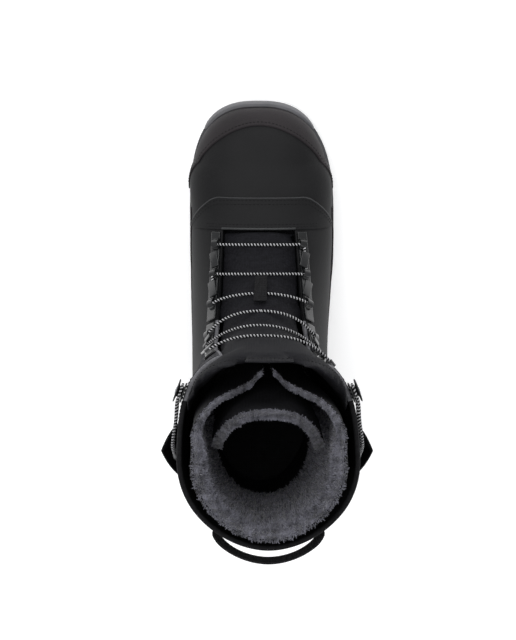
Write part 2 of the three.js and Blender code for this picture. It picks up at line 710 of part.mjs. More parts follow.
for (const [side, sign] of [["medial", -1], ["lateral", 1]]) {
  const strip = (from, to, stepsU) => patch({
    from, to, start: (s) => throatAt(sign, s) + sign * stripStart,
    end: (s) => throatAt(sign, s) + sign * stripEnd, ...overlay, stepsU, stepsV: 2,
  });
  add("guide_strip_" + side, cutFoot(strip(throatStart + 0.06, 4.05, 7)), moulded);
  add("cuff_strip_" + side, cutShaft(strip(4.2, 7.45, 9)), moulded);
  for (const [zone, rows] of [["lower", lowerRows], ["upper", upperRows]]) {
    rows.forEach(({ ends }, i) => {
      const hexagon = new THREE.CylinderGeometry(guideLong / 2, guideLong / 2, guideTall, 6);
      hexagon.rotateX(Math.PI / 2).scale(guideWide / guideLong, 1, 1);
      hexagon.translate(0, 0, overlay.outer + 2 * gap + guideTall / 2);
      hexagon.applyMatrix4(standOn(ends, guideAt(sign, ends), 0));
      const guide = largest(toSolid(hexagon).subtract(tunnels[zone]));
      add([zone, "guide", side, i + 1].join("_"), guide, moulded);
    });
  }
}

const underKeeper = (s, a) => tongueOut(s, a) + 2 * laceRadius + 2.5 * facetRoom;
const keeper = patch({
  from: 3.12, to: 3.72, start: -0.035, end: 0.035, inner: underKeeper,
  outer: (s, a) => underKeeper(s, a) + overlayWall, stepsU: 4, stepsV: 2,
});
add("lace_keeper", cutFoot(keeper), webbing);

// ---- Lace locks, pockets and pull handles ----
const lockRadius = 8.5;
const lockNeck = 4;
const lockTall = 6;
const pocketOpen = 12; // how far a pocket's mouth stands off the cuff
const handleSize = [10, (24 / 300) * shaftHeight, 5];
const handleLift = 1.6 * facetRoom + 0.7 + handleSize[2] / 2; // middle of the grip over the cuff
const turnedShape = (outline, turns) =>
  new THREE.LatheGeometry(outline.map(([r, z]) => new THREE.Vector2(r, z)), turns).rotateX(Math.PI / 2);
for (const [side, sign] of [["medial", -1], ["lateral", 1]]) {
  const lockFrame = standOn(8.12, sign * 0.335, 0);
  // The lock is turned so that its strand leaves straight towards the pocket's mouth.
  const mouth = form(8.2, sign * 0.52, 6.5);
  const toMouth = mouth.clone().applyMatrix4(lockFrame.clone().invert());
  lockFrame.multiply(new THREE.Matrix4().makeRotationZ(Math.atan2(toMouth.x, -toMouth.y)));
  const lockBase = 1.6 * facetRoom;
  const spool = [
    [0, 0], [lockRadius - 1, 0], [lockRadius - 1, 1.2], [lockNeck, 1.4], [lockNeck, lockTall - 1.6],
    [lockRadius, lockTall - 1], [lockRadius - 0.6, lockTall], [0, lockTall],
  ];
  const disc = turnedShape(spool, 20).translate(0, 0, lockBase).applyMatrix4(lockFrame);
  add("lace_lock_" + side, disc, moulded);
  const rivet = turnedShape([[0, 0], [3, 0], [2.4, 0.9], [0, 1.3]], 12);
  rivet.translate(0, 0, lockBase + lockTall + gap).applyMatrix4(lockFrame);
  add("lock_rivet_" + side, rivet, steel);

  const [pocketLow, pocketHigh, pocketFront, pocketBack] = [7.35, 8.0, 0.46, 0.68];
  const bulge = (s, a) => {
    const across = clamp((Math.abs(a) - pocketFront) / (pocketBack - pocketFront), 0, 1);
    const rise = clamp((s - pocketLow) / (pocketHigh - pocketLow), 0, 1);
    return Math.pow(Math.sin(Math.PI * across), 0.6) * Math.pow(rise, 0.5);
  };
  const lift = (s, a) => facetRoom * 1.4 + pocketOpen * bulge(s, a);
  const pocket = patch({
    from: pocketLow, to: pocketHigh, start: sign * pocketFront, end: sign * pocketBack,
    inner: lift, outer: (s, a) => lift(s, a) + overlayWall, stepsU: 6, stepsV: 10,
  });
  add("pocket_" + side, pocket, heather);

  const handleFrame = standOn(7.84, (sign * (pocketFront + pocketBack)) / 2, 0);
  const grip = new THREE.CylinderGeometry(handleSize[0] / 2, handleSize[0] / 2, handleSize[1], 10);
  grip.scale(1, 1, handleSize[2] / handleSize[0]).translate(0, 0, handleLift);
  grip.applyMatrix4(handleFrame);
  add("pull_handle_" + side, grip, moulded);

  // The strand is doubled: up from the grip, round the lock's neck and down again.
  const strandHalf = 2.4;
  const onLock = (x, y) => new THREE.Vector3(x, y, lockBase + 2.9).applyMatrix4(lockFrame);
  const gripTop = handleSize[1] / 2 + 1.5;
  const onGrip = (x) => new THREE.Vector3(x, gripTop, handleLift).applyMatrix4(handleFrame);
  const acrossLock = new THREE.Vector3(1, 0, 0).transformDirection(lockFrame);
  const overMouth = (x) => mouth.clone().addScaledVector(acrossLock, x);
  const neck = lockNeck + laceRadius + facetRoom;
  const oneRun = (x) => {
    const beside = Math.sign(x) * neck;
    return [onGrip(x), overMouth(x), onLock(beside, -9), onLock(beside, 0)];
  };
  const bend = neck * Math.SQRT1_2;
  const top = [onLock(-bend, bend), onLock(0, neck), onLock(bend, bend)];
  const strand = [...oneRun(-strandHalf), ...top, ...oneRun(strandHalf).reverse()];
  add("pull_strand_" + side, tube(strand, laceRadius, 26), cord);
}

// ---- The pull loop behind the cuff ----
const loopWide = 14;
const loopThick = 2;
const loopOut = 10.5; // how far the loop stands off the cuff at its middle
const loopStation = 8.62;
const loopSpan = 0.205; // how far round the back it is sewn on each side
const loopRings = [];
const loopSteps = 16;
for (let i = 0; i <= loopSteps; i++) {
  const t = (2 * i) / loopSteps - 1;
  const free = 1 - t * t;
  const stand = lerp(2.6 * facetRoom, loopOut, Math.pow(free, 0.6));
  const middle = form(loopStation, 1 + t * loopSpan, stand);
  const out = outward(loopStation, 1 + t * loopSpan, stand).setZ(0).normalize();
  const halfTall = lerp(2.5, loopWide / 2, Math.min(3 * free, 1));
  const h = loopThick / 2;
  const corners = [[-h, -halfTall], [h, -halfTall], [h, halfTall], [-h, halfTall]];
  const upright = new THREE.Vector3(0, 0, 1);
  const corner = ([away, rise]) =>
    middle.clone().addScaledVector(out, away).addScaledVector(upright, rise);
  loopRings.push(corners.map(corner));
}
add("pull_loop", skin(loopRings), webbing);

// ---- The liner ----
const linerFoot = 4.5;
const lapelInset = 3; // how far the rim is drawn in on both sides of its notch
const linerOut = (s, a) => {
  const front = 1 - between(Math.abs(a), 0.3, 0.42);
  const shaft = between(s, 6.5, 8.8) * between(Math.abs(a), 0.3, 0.5);
  const underTongue = front * between(s, 1.5, 2.1);
  const lapel = lapelInset * between(Math.abs(a), 0.01, 0.1) * (1 - between(Math.abs(a), 0.14, 0.34));
  return -shellWall - 4 * facetRoom - (tongueWall + facetRoom) * underTongue - 5 * shaft
    - lapel * between(s, 6.6, 8.2);
};
const boardTop = boardLow + boardThick;
const linerSoleThick = 3;
const footbedThick = 4.5;
const sockLow = boardTop + linerSoleThick + 2 * gap;
const overLinerSole = layer(abovePlatform(sockLow), abovePlatform(2 * shaftHeight));
const sock = wall({
  s: (u) => u * heelEnd, around: (u, v) => 2 * v - 1,
  inner: (s, a) => linerOut(s, a) - linerFoot, outer: linerOut,
  stepsU: 15, stepsV: 20, ring: true,
});
add("liner_foot", largest(toSolid(sock).intersect(belowAnkle).intersect(overLinerSole)), linerFabric);
const inSock = formSolid(-shellWall - linerFoot - 8 * facetRoom, false);
const linerSoleLow = boardTop + gap;
const stack = (solid, low, thick) =>
  solid.intersect(layer(abovePlatform(low), abovePlatform(low + thick)));
add("liner_sole", stack(inShell, linerSoleLow, linerSoleThick), linerFabric);
add("footbed", stack(inSock, linerSoleLow + linerSoleThick + gap, footbedThick), gel);

const linerTop = (a) => lerp(8.1, 8.9, between(Math.abs(a), 0.03, 0.5));
const linerCuff = wall({
  s: (u, v) => lerp(shaftStart, linerTop(2 * v - 1), u), around: (u, v) => 2 * v - 1,
  inner: (s, a) => linerOut(s, a) - linerWall, outer: linerOut, stepsU: 8, stepsV: 24, ring: true,
});
add("liner_cuff", cutShaft(linerCuff), linerFabric);

const collarProud = 1.5;
const collar = wall({
  s: (u, v) => linerTop(2 * v - 1) + 0.02 + 0.2 * u, around: (u, v) => 2 * v - 1,
  inner: (s, a) => linerOut(linerTop(a), a) - linerWall - collarProud,
  outer: (s, a) => linerOut(linerTop(a), a) + collarProud, stepsU: 2, stepsV: 24, ring: true,
});
add("liner_collar", collar, fleece);

const linerTongueThick = 9;
const leanStart = 5.2;
const linerTongueHalf = 0.3; // its half width, as a share of the way round the form
const leanAt = (a) => lerp(4.7, 5.2, Math.pow(a / linerTongueHalf, 2)); // more at its edges
const lean = (s, a) => 2 + leanAt(a) * Math.max(s - leanStart, 0);
const linerTongueOut = (s) => linerOut(s, 0) - linerWall - 1.5;
const linerTongue = wall({
  s: (u, v) => lerp(leanStart, 8.75 - 0.45 * Math.pow(Math.abs(2 * v - 1), 2), u),
  around: (u, v) => lerp(-linerTongueHalf, linerTongueHalf, v), shift: lean,
  inner: (s) => linerTongueOut(s) - linerTongueThick, outer: linerTongueOut, stepsU: 8, stepsV: 8,
});
add("liner_tongue", linerTongue, linerFabric);

export default boot;
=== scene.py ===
import math
import random

import bmesh
import bpy
import numpy as np
from mathutils import Matrix, Vector


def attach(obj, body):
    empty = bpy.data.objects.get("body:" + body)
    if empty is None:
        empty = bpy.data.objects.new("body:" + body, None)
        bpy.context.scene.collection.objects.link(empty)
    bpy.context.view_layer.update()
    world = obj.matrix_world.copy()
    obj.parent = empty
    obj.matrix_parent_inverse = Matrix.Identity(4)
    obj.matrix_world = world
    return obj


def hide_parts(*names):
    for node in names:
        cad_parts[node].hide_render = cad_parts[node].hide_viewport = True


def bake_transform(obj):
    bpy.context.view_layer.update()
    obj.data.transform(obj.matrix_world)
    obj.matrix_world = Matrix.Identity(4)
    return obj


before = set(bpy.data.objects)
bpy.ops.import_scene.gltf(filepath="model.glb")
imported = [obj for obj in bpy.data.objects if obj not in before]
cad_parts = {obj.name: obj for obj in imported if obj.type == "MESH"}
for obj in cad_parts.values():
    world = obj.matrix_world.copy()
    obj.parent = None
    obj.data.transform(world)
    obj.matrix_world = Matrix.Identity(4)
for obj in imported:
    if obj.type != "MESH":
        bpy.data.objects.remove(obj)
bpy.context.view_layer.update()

# A right snowboard boot. Metres, toe to +Y, outside of the foot to +X.
mm = 0.001
sides = {"medial": -1, "lateral": 1}

# camera, floor and light
shot = {"lookAt": Vector((-0.0015, -0.0044, 0.1008)), "distance": 1.8, "tilt": 10, "lens": 133.9}
towardsCamera = Vector((0, math.sin(math.radians(shot["tilt"])), math.cos(math.radians(shot["tilt"]))))
cameraData = bpy.data.cameras.new("camera")
cameraData.lens = shot["lens"]
camera = bpy.data.objects.new("camera", cameraData)
camera.location = shot["lookAt"] + towardsCamera * shot["distance"]
camera.rotation_euler = (-math.radians(shot["tilt"]), 0, 0)
bpy.context.scene.collection.objects.link(camera)
bpy.context.scene.camera = camera
bpy.context.scene.view_settings.view_transform = "Standard"

studio = {
    "sky": 0.62,
    "lamps": [
        {"name": "overhead", "at": (-0.5, 0.5, 2.1), "size": 1.6, "power": 26},
        {"name": "toeSide", "at": (0.3, 2.0, 1.1), "size": 1.2, "power": 14},
        {"name": "heelSide", "at": (0.8, -1.8, 1.4), "size": 1.4, "power": 14},
    ],
}


def toLinear(code):
    # sRGB hex to the linear numbers that a socket takes
    values = [int(code[i : i + 2], 16) / 255 for i in (1, 3, 5)]
    return [v / 12.92 if v <= 0.04045 else ((v + 0.055) / 1.055) ** 2.4 for v in values] + [1.0]


def addNode(tree, kind, settings=None, inputs=None):
    node = tree.nodes.new(kind)
    for name, value in (settings or {}).items():
        setattr(node, name, value)
    for key, value in (inputs or {}).items():
        if isinstance(value, bpy.types.NodeSocket):
            tree.links.new(value, node.inputs[key])
        else:
            node.inputs[key].default_value = value
    return node


def addObject(name, mesh):
    piece = bpy.data.objects.new(name, mesh)
    bpy.context.scene.collection.objects.link(piece)
    return piece


world = bpy.data.worlds.new("studio")
world.use_nodes = True
world.node_tree.nodes["Background"].inputs["Color"].default_value = toLinear("#f4f5f7")
world.node_tree.nodes["Background"].inputs["Strength"].default_value = studio["sky"]
bpy.context.scene.world = world
for lamp in studio["lamps"]:
    light = bpy.data.lights.new(lamp["name"], "AREA")
    light.size = lamp["size"]
    light.energy = lamp["power"]
    lampObject = addObject(lamp["name"], light)
    lampObject.location = lamp["at"]
    lampObject.rotation_euler = (shot["lookAt"] - lampObject.location).to_track_quat("-Z", "Y").to_euler()


# materials
def startMaterial(name, settings):
    material = bpy.data.materials.new(name)
    material.use_nodes = True
    tree = material.node_tree
    tree.nodes.clear()
    shader = addNode(tree, "ShaderNodeBsdfPrincipled", inputs=settings)
    addNode(tree, "ShaderNodeOutputMaterial", inputs={"Surface": shader.outputs["BSDF"]})
    return material, tree, shader


def patternSpace(tree, space, stretch=(1, 1, 1)):
    # coordinates in metres, on the object or along the piece's own cloth
    if space == "cloth":
        source = addNode(tree, "ShaderNodeUVMap", {"uv_map": "cloth"}).outputs["UV"]
    else:
        source = addNode(tree, "ShaderNodeTexCoord").outputs["Object"]
    return addNode(tree, "ShaderNodeMapping", inputs={"Vector": source, "Scale": stretch}).outputs["Vector"]


def colourBetween(tree, factor, dark, light, low=0.3, high=0.7):
    ramp = addNode(tree, "ShaderNodeValToRGB", inputs={"Fac": factor})
    ramp.color_ramp.elements[0].position = low
    ramp.color_ramp.elements[1].position = high
    ramp.color_ramp.elements[0].color = toLinear(dark)
    ramp.color_ramp.elements[1].color = toLinear(light)
    return ramp.outputs["Color"]


def dress(tree, shader, colour, height, strength, depth):
    # gives the shader its colour, and its relief from a height
    relief = {"Height": height, "Strength": strength, "Distance": depth}
    bump = addNode(tree, "ShaderNodeBump", inputs=relief)
    tree.links.new(colour, shader.inputs["Base Color"])
    tree.links.new(bump.outputs["Normal"], shader.inputs["Normal"])


def grainMaterial(name, facts):
    # a coated or moulded skin: cloudy colour, pebbled grain and rubbed high spots
    material, tree, shader = startMaterial(name, facts["shader"])
    where = patternSpace(tree, "object")
    noises = []
    for scale, detail in ((facts["cloud"], 5.0), (0.7 / facts["grain"], 3.0)):
        inputs = {"Vector": where, "Scale": scale, "Detail": detail}
        noises.append(addNode(tree, "ShaderNodeTexNoise", inputs=inputs))
    cloud, fine = noises
    pebbles = {"Vector": where, "Scale": 1 / facts["grain"]}
    grain = addNode(tree, "ShaderNodeTexVoronoi", {"feature": "SMOOTH_F1"}, pebbles)
    terms = {0: grain.outputs["Distance"], 1: 0.7, 2: fine.outputs["Fac"]}
    height = addNode(tree, "ShaderNodeMath", {"operation": "MULTIPLY_ADD"}, terms)
    colour = colourBetween(tree, cloud.outputs["Fac"], facts["dark"], facts["light"])
    low, high = facts["rough"]
    rough = addNode(
        tree, "ShaderNodeMapRange", inputs={"Value": cloud.outputs["Fac"], "To Min": low, "To Max": high}
    )
    tree.links.new(rough.outputs["Result"], shader.inputs["Roughness"])
    dress(tree, shader, colour, height.outputs["Value"], facts["bump"], facts["grain"] * 0.5)
    return material


def wovenMaterial(name, facts):
    # threads over and under each other, with some lighter yarns among the dark ones
    material, tree, shader = startMaterial(name, facts["shader"])
    where = patternSpace(tree, facts["space"])
    pitch = math.pi / facts["thread"]
    waves = []
    for direction in ("X", "Y"):
        settings = {"bands_direction": direction, "wave_profile": "SIN"}
        inputs = {"Vector": where, "Scale": pitch / 20, "Distortion": facts["slub"], "Detail Scale": 2.0}
        waves.append(addNode(tree, "ShaderNodeTexWave", settings, inputs).outputs["Fac"])
    weave = addNode(tree, "ShaderNodeMath", {"operation": "MULTIPLY"}, dict(enumerate(waves)))
    yarns = []
    for stretch in ((1, 0.22, 1), (0.22, 1, 1)):
        onYarn = patternSpace(tree, facts["space"], stretch)
        inputs = {"Vector": onYarn, "Scale": 0.55 / facts["thread"], "Detail": 2.0}
        yarns.append(addNode(tree, "ShaderNodeTexNoise", inputs=inputs).outputs["Fac"])
    both = addNode(tree, "ShaderNodeMath", {"operation": "ADD"}, dict(enumerate(yarns)))
    half = addNode(tree, "ShaderNodeMath", {"operation": "MULTIPLY"}, {0: both.outputs["Value"], 1: 0.5})
    colour = colourBetween(tree, half.outputs["Value"], facts["dark"], facts["light"], *facts["mix"])
    dress(tree, shader, colour, weave.outputs["Value"], facts["bump"], facts["thread"] * 0.4)
    return material


def braidMaterial(name, facts):
    # a round braided cord: one light strand winds round the dark ones
    material, tree, shader = startMaterial(name, facts["shader"])
    where = addNode(tree, "ShaderNodeSeparateXYZ", inputs={"Vector": patternSpace(tree, "cloth")})
    aroundIt = {0: where.outputs["X"], 1: 1 / facts["girth"]}
    turns = addNode(tree, "ShaderNodeMath", {"operation": "MULTIPLY"}, aroundIt)
    alongIt = {0: where.outputs["Y"], 1: 1 / facts["lead"], 2: turns.outputs["Value"]}
    phase = addNode(tree, "ShaderNodeMath", {"operation": "MULTIPLY_ADD"}, alongIt)
    share = addNode(tree, "ShaderNodeMath", {"operation": "FRACT"}, {0: phase.outputs["Value"]})
    strand = addNode(tree, "ShaderNodeMath", {"operation": "PINGPONG"}, {0: share.outputs["Value"], 1: 0.5})
    colour = colourBetween(tree, strand.outputs["Value"], facts["dark"], facts["light"], *facts["mix"])
    dress(tree, shader, colour, strand.outputs["Value"], facts["bump"], facts["lead"] * 0.2)
    return material


materials = {
    # polyurethane-coated microfibre, embossed with a fine pebble: matt, nearly black
    "coatedSynthetic": grainMaterial("coatedSynthetic", {
        "shader": {"Specular IOR Level": 0.14}, "dark": "#131314", "light": "#1b1b1c",
        "cloud": 22, "grain": 0.9 * mm, "bump": 0.22, "rough": (0.55, 0.7),
    }),
    # the same synthetic folded over a cord or cut, where its edge is rubbed lighter
    "rubbedEdge": grainMaterial("rubbedEdge", {
        "shader": {"Specular IOR Level": 0.3}, "dark": "#28292a", "light": "#343536",
        "cloud": 60, "grain": 0.9 * mm, "bump": 0.2, "rough": (0.45, 0.6),
    }),
    # thin moulded rubber film over the toe and heel: warmer and duller than the upper
    "toeRubber": grainMaterial("toeRubber", {
        "shader": {"Specular IOR Level": 0.2}, "dark": "#1e1b1d", "light": "#272325",
        "cloud": 30, "grain": 0.7 * mm, "bump": 0.3, "rough": (0.58, 0.75),
    }),
    # solid grey rubber of the bumper, blasted mould finish
    "bumperRubber": grainMaterial("bumperRubber", {
        "shader": {"Specular IOR Level": 0.3}, "dark": "#4d4d50", "light": "#636366",
        "cloud": 40, "grain": 0.8 * mm, "bump": 0.25, "rough": (0.5, 0.7),
    }),
    # black carbon rubber tread
    "treadRubber": grainMaterial("treadRubber", {
        "shader": {"Specular IOR Level": 0.25}, "dark": "#101011", "light": "#1a1a1c",
        "cloud": 35, "grain": 1.0 * mm, "bump": 0.3, "rough": (0.6, 0.8),
    }),
    # moulded EVA foam: closed cells, dull
    "mouldedFoam": grainMaterial("mouldedFoam", {
        "shader": {"Specular IOR Level": 0.2}, "dark": "#1f1f22", "light": "#2b2b2f",
        "cloud": 25, "grain": 0.6 * mm, "bump": 0.35, "rough": (0.7, 0.85),
    }),
    # glass-filled nylon, polished mould: a wet-looking sheen
    "mouldedNylon": grainMaterial("mouldedNylon", {
        "shader": {"Specular IOR Level": 0.4, "Coat Weight": 0.2, "Coat Roughness": 0.15},
        "dark": "#0b0c0d", "light": "#131416",
        "cloud": 60, "grain": 1.4 * mm, "bump": 0.05, "rough": (0.22, 0.36),
    }),
    # pressed stainless steel rivets and shank
    "pressedSteel": grainMaterial("pressedSteel", {
        "shader": {"Metallic": 1.0}, "dark": "#8d8f93", "light": "#b4b6ba",
        "cloud": 90, "grain": 0.5 * mm, "bump": 0.06, "rough": (0.28, 0.45),
    }),
    # pressed fibre board
    "fibreBoard": grainMaterial("fibreBoard", {
        "shader": {"Specular IOR Level": 0.2}, "dark": "#4a4640", "light": "#5c574f",
        "cloud": 60, "grain": 0.8 * mm, "bump": 0.4, "rough": (0.8, 0.95),
    }),
    # heather polyester textile: charcoal warp with pale slub yarns. Threads drawn twice as coarse, to show
    "heatherTextile": wovenMaterial("heatherTextile", {
        "shader": {"Roughness": 0.9, "Specular IOR Level": 0.12}, "space": "cloth",
        "dark": "#131315", "light": "#4a4a4e", "mix": (0.4, 0.66),
        "thread": 1.0 * mm, "slub": 1.5, "bump": 0.4,
    }),
    # dense black polyester twill on the tongue
    "tongueTextile": wovenMaterial("tongueTextile", {
        "shader": {"Roughness": 0.8, "Specular IOR Level": 0.12}, "space": "object",
        "dark": "#0e0e11", "light": "#18181c", "mix": (0.35, 0.65),
        "thread": 0.9 * mm, "slub": 0.6, "bump": 0.3,
    }),
    # brushed black tricot, the lining of the shell
    "tricotLining": wovenMaterial("tricotLining", {
        "shader": {"Roughness": 0.95, "Specular IOR Level": 0.08}, "space": "object",
        "dark": "#0a0a0b", "light": "#131315", "mix": (0.35, 0.65),
        "thread": 0.8 * mm, "slub": 1.0, "bump": 0.3,
    }),
    # ballistic nylon shell of the inner boot
    "linerNylon": wovenMaterial("linerNylon", {
        "shader": {"Roughness": 0.8, "Specular IOR Level": 0.12}, "space": "object",
        "dark": "#0c0c0e", "light": "#18181b", "mix": (0.3, 0.7),
        "thread": 1.2 * mm, "slub": 0.4, "bump": 0.5,
    }),
    # polyester webbing, tightly ribbed
    "webbing": wovenMaterial("webbing", {
        "shader": {"Roughness": 0.8, "Specular IOR Level": 0.15}, "space": "cloth",
        "dark": "#09090a", "light": "#1b1b1d", "mix": (0.3, 0.7),
        "thread": 1.1 * mm, "slub": 0.2, "bump": 0.8,
    }),
    # grosgrain tape that binds the cuff's cut edge
    "bindingTape": wovenMaterial("bindingTape", {
        "shader": {"Roughness": 0.8, "Specular IOR Level": 0.3}, "space": "object",
        "dark": "#4a4a4d", "light": "#747478", "mix": (0.3, 0.7),
        "thread": 0.8 * mm, "slub": 0.3, "bump": 0.5,
    }),
    # the same tape in black, round the back of the rim
    "blackTape": wovenMaterial("blackTape", {
        "shader": {"Roughness": 0.85, "Specular IOR Level": 0.12}, "space": "object",
        "dark": "#0b0b0c", "light": "#1a1a1c", "mix": (0.3, 0.7),
        "thread": 0.8 * mm, "slub": 0.3, "bump": 0.5,
    }),
    # bonded polyester sewing thread
    "sewingThread": wovenMaterial("sewingThread", {
        "shader": {"Roughness": 0.7, "Specular IOR Level": 0.2}, "space": "object",
        "dark": "#060607", "light": "#0e0e10", "mix": (0.3, 0.7),
        "thread": 0.7 * mm, "slub": 0.2, "bump": 0.4,
    }),
    # polyester sherpa pile: dull fibres, lighter at the crowns of its curls
    "fleecePile": wovenMaterial("fleecePile", {
        "shader": {"Roughness": 1.0, "Specular IOR Level": 0.1, "Sheen Weight": 0.3}, "space": "object",
        "dark": "#3c3c42", "light": "#74747e", "mix": (0.38, 0.62),
        "thread": 2.2 * mm, "slub": 4.0, "bump": 0.5,
    }),
    # laminated foam insole with a knitted cover
    "footbedCover": wovenMaterial("footbedCover", {
        "shader": {"Roughness": 0.9, "Specular IOR Level": 0.2}, "space": "object",
        "dark": "#0e0f10", "light": "#17181a", "mix": (0.3, 0.7),
        "thread": 1.0 * mm, "slub": 0.5, "bump": 0.4,
    }),
    # braided polyester lace, black with one white strand
    "braidedLace": braidMaterial("braidedLace", {
        "shader": {"Roughness": 0.8, "Specular IOR Level": 0.15}, "dark": "#0a0a0b", "light": "#b4b4b6",
        "mix": (0.27, 0.36), "lead": 2.4 * mm, "girth": 6.0 * mm, "bump": 0.5,
    }),
    # white acrylic table, lit a little from below
    "studioFloor": grainMaterial("studioFloor", {
        "shader": {
            "Specular IOR Level": 0.1, "Emission Color": toLinear("#ffffff"), "Emission Strength": 0.3,
        },
        "dark": "#f4f4f4", "light": "#f8f8f8",
        "cloud": 2, "grain": 3 * mm, "bump": 0.02, "rough": (0.85, 0.95),
    }),
}

floorShape = bmesh.new()
bmesh.ops.create_grid(floorShape, x_segments=4, y_segments=4, size=4)
floorMesh = bpy.data.meshes.new("floor")
floorShape.to_mesh(floorMesh)
floorShape.free()
floorPiece = addObject("floor", floorMesh)
floorMesh.materials.append(materials["studioFloor"])
print("stage and materials ready")

# the boot's form: a fan of cross-sections from the toe, round the heel, to the cuff
last = {"soleLength": 306 * mm, "ballHalf": 53.5 * mm, "cuffHalf": 63 * mm, "shaftHeight": 300 * mm}


def along(share):
    return (share - 0.5) * last["soleLength"]


def upTo(share):
    return share * last["shaftHeight"]


def mix(a, b, t):
    return a + (b - a) * t


def ease(x, a, b):
    t = np.clip((x - a) / (b - a), 0, 1)
    return t * t * (3 - 2 * t)


ball, cuff = last["ballHalf"], last["cuffHalf"]
# front and back meet the middle line above and below, then half width, where it is widest,
# squareness above and below, and the shift to the outside of the foot
stations = np.array([
    [0.987, 0.213, 0.987, 0.053, 0, 0.62, 2.4, 2.8, -1 * mm],
    [0.862, 0.236, 0.862, 0.053, 0.912 * ball, 0.62, 2.4, 3.0, 0],
    [0.712, 0.29, 0.7, 0.053, ball, 0.64, 2.3, 3.4, 1.5 * mm],
    [0.611, 0.364, 0.545, 0.055, 0.985 * ball, 0.62, 2.2, 3.4, 1 * mm],
    [0.54, 0.456, 0.37, 0.067, 0.96 * ball, 0.58, 2.1, 3.2, 0],
    [0.508, 0.53, 0.11, 0.062, 0.95 * ball, 0.54, 2.1, 2.6, 0],
    [0.5, 0.59, 0.016, 0.14, 0.93 * ball, 0.5, 2.2, 2.2, 0.5 * mm],
    [0.497, 0.66, 0.016, 0.37, mix(ball, cuff, 0.05), 0.52, 2.5, 2.1, 2.5 * mm],
    [0.496, 0.79, 0.045, 0.63, mix(ball, cuff, 0.85), 0.54, 2.8, 1.95, 5 * mm],
    [0.5, 1.0, 0.06, 0.965, cuff, 0.54, 2.9, 1.85, 6 * mm],
])
toe = {
    "tip": along(0.987), "box": along(0.862), "ballLine": along(0.705), "height": upTo(0.128),
    "plan": 2.65, "profile": 2.2,
}
tableStep = 0.025  # stations between two ready-made sections
tableTop = 9.6
aroundSteps = 256
probeLift = 10 * mm


def stationValues(s):
    final = len(stations) - 1
    i = np.clip(np.floor(s).astype(int), 0, final - 1)
    t = (s - i)[:, None]
    a, b, c, d = [stations[np.clip(i + k, 0, final)] for k in (-1, 0, 1, 2)]
    smooth = t * t * (3 - 2 * t)
    return mix(b, c, smooth) + t * (1 - t) * ((1 - t) * (c - a) / 2 - t * (d - b) / 2)


def closing(t, power):
    return (1 - np.clip(t, 0, 1) ** power) ** (1 / power)


def sectionTable(lift):
    s = np.arange(0, tableTop + tableStep, tableStep)
    value = stationValues(s)
    front = np.stack([along(value[:, 0]), upTo(value[:, 1])], 1)
    back = np.stack([along(value[:, 2]), upTo(value[:, 3])], 1)
    direction = (front - back) / np.linalg.norm(front - back, axis=1)[:, None]
    front, back = front + direction * lift, back - direction * lift
    half = value[:, 4] + lift
    atToe = s < 1
    toeY = mix(toe["tip"] + lift, toe["box"], s * s)
    close = closing(1 - s * s, toe["profile"])
    toTip = (toeY - toe["ballLine"]) / (toe["tip"] + lift - toe["ballLine"])
    toeHalf = (ball + lift) * closing(toTip, toe["plan"])
    half = np.where(atToe, toeHalf, half)
    for end in (front, back):
        end[:, 1] = np.where(atToe, mix(toe["height"], end[:, 1], close), end[:, 1])
        end[:, 0] = np.where(atToe, toeY, end[:, 0])
    middle = mix(front, back, value[:, 5:6])
    angle = np.pi * np.arange(aroundSteps + 1) / aroundSteps
    cosine, sine = np.cos(angle), np.clip(np.sin(angle), 0, 1)
    rows = []
    for k in range(len(s)):
        above = cosine >= 0
        power = np.where(above, value[k, 6], value[k, 7])
        run = np.abs(cosine) ** (2 / power)
        end = np.where(above[:, None], front[k], back[k])
        yz = mix(middle[k], end, run[:, None])
        outline = np.column_stack([value[k, 8] + half[k] * sine ** (2 / power), yz])
        length = np.concatenate([[0], np.cumsum(np.linalg.norm(np.diff(outline, axis=0), axis=1))])
        even = np.linspace(0, length[-1], aroundSteps + 1)
        rows.append(np.column_stack([np.interp(even, length, outline[:, axis]) for axis in range(3)]))
    return np.array(rows), value[:, 8]


tables = [sectionTable(0.0)[0], sectionTable(probeLift)[0]]
sideShift = sectionTable(0.0)[1]


def onForm(s, around, lift=0.0):
    # points on the form: around is 0 at the front middle line and 1 at the back, by way of the
    # outside of the foot
    s, around, lift = np.broadcast_arrays(*[np.asarray(given, float) for given in (s, around, lift)])
    turn = (around + 1) % 2 - 1
    row = s / tableStep
    i = np.clip(np.floor(row).astype(int), 0, len(sideShift) - 2)
    f = (row - i)[..., None]
    column = np.abs(turn) * aroundSteps
    j = np.clip(np.floor(column).astype(int), 0, aroundSteps - 1)
    g = (column - j)[..., None]

    def lookUp(table):
        return mix(mix(table[i, j], table[i, j + 1], g), mix(table[i + 1, j], table[i + 1, j + 1], g), f)

    base = lookUp(tables[0])
    point = base + (lookUp(tables[1]) - base) * (lift / probeLift)[..., None]
    side = mix(sideShift[i], sideShift[i + 1], f[..., 0])
    point[..., 0] = np.where(turn < 0, 2 * side - point[..., 0], point[..., 0])
    return point


def unit(vectors):
    return vectors / np.maximum(np.linalg.norm(vectors, axis=-1, keepdims=True), 1e-12)


def directions(s, around, lift=0.0):
    # across the form, up along it and out of it
    s, around = np.broadcast_arrays(np.asarray(s, float), np.asarray(around, float))
    rise = unit(onForm(s + 0.03, around, lift) - onForm(s - 0.03, around, lift))
    across = unit(onForm(s, around + 0.01, lift) - onForm(s, around - 0.01, lift))
    out = unit(np.cross(rise, across))
    return unit(np.cross(out, rise)) * -1, rise, out


def standOn(s, around, lift=0.0):
    across, rise, out = directions(s, around, lift)
    right = np.cross(rise, out)
    rows = np.column_stack([right, rise, out, onForm(s, around, lift)])
    return Matrix([list(row) for row in rows] + [[0, 0, 0, 1]])


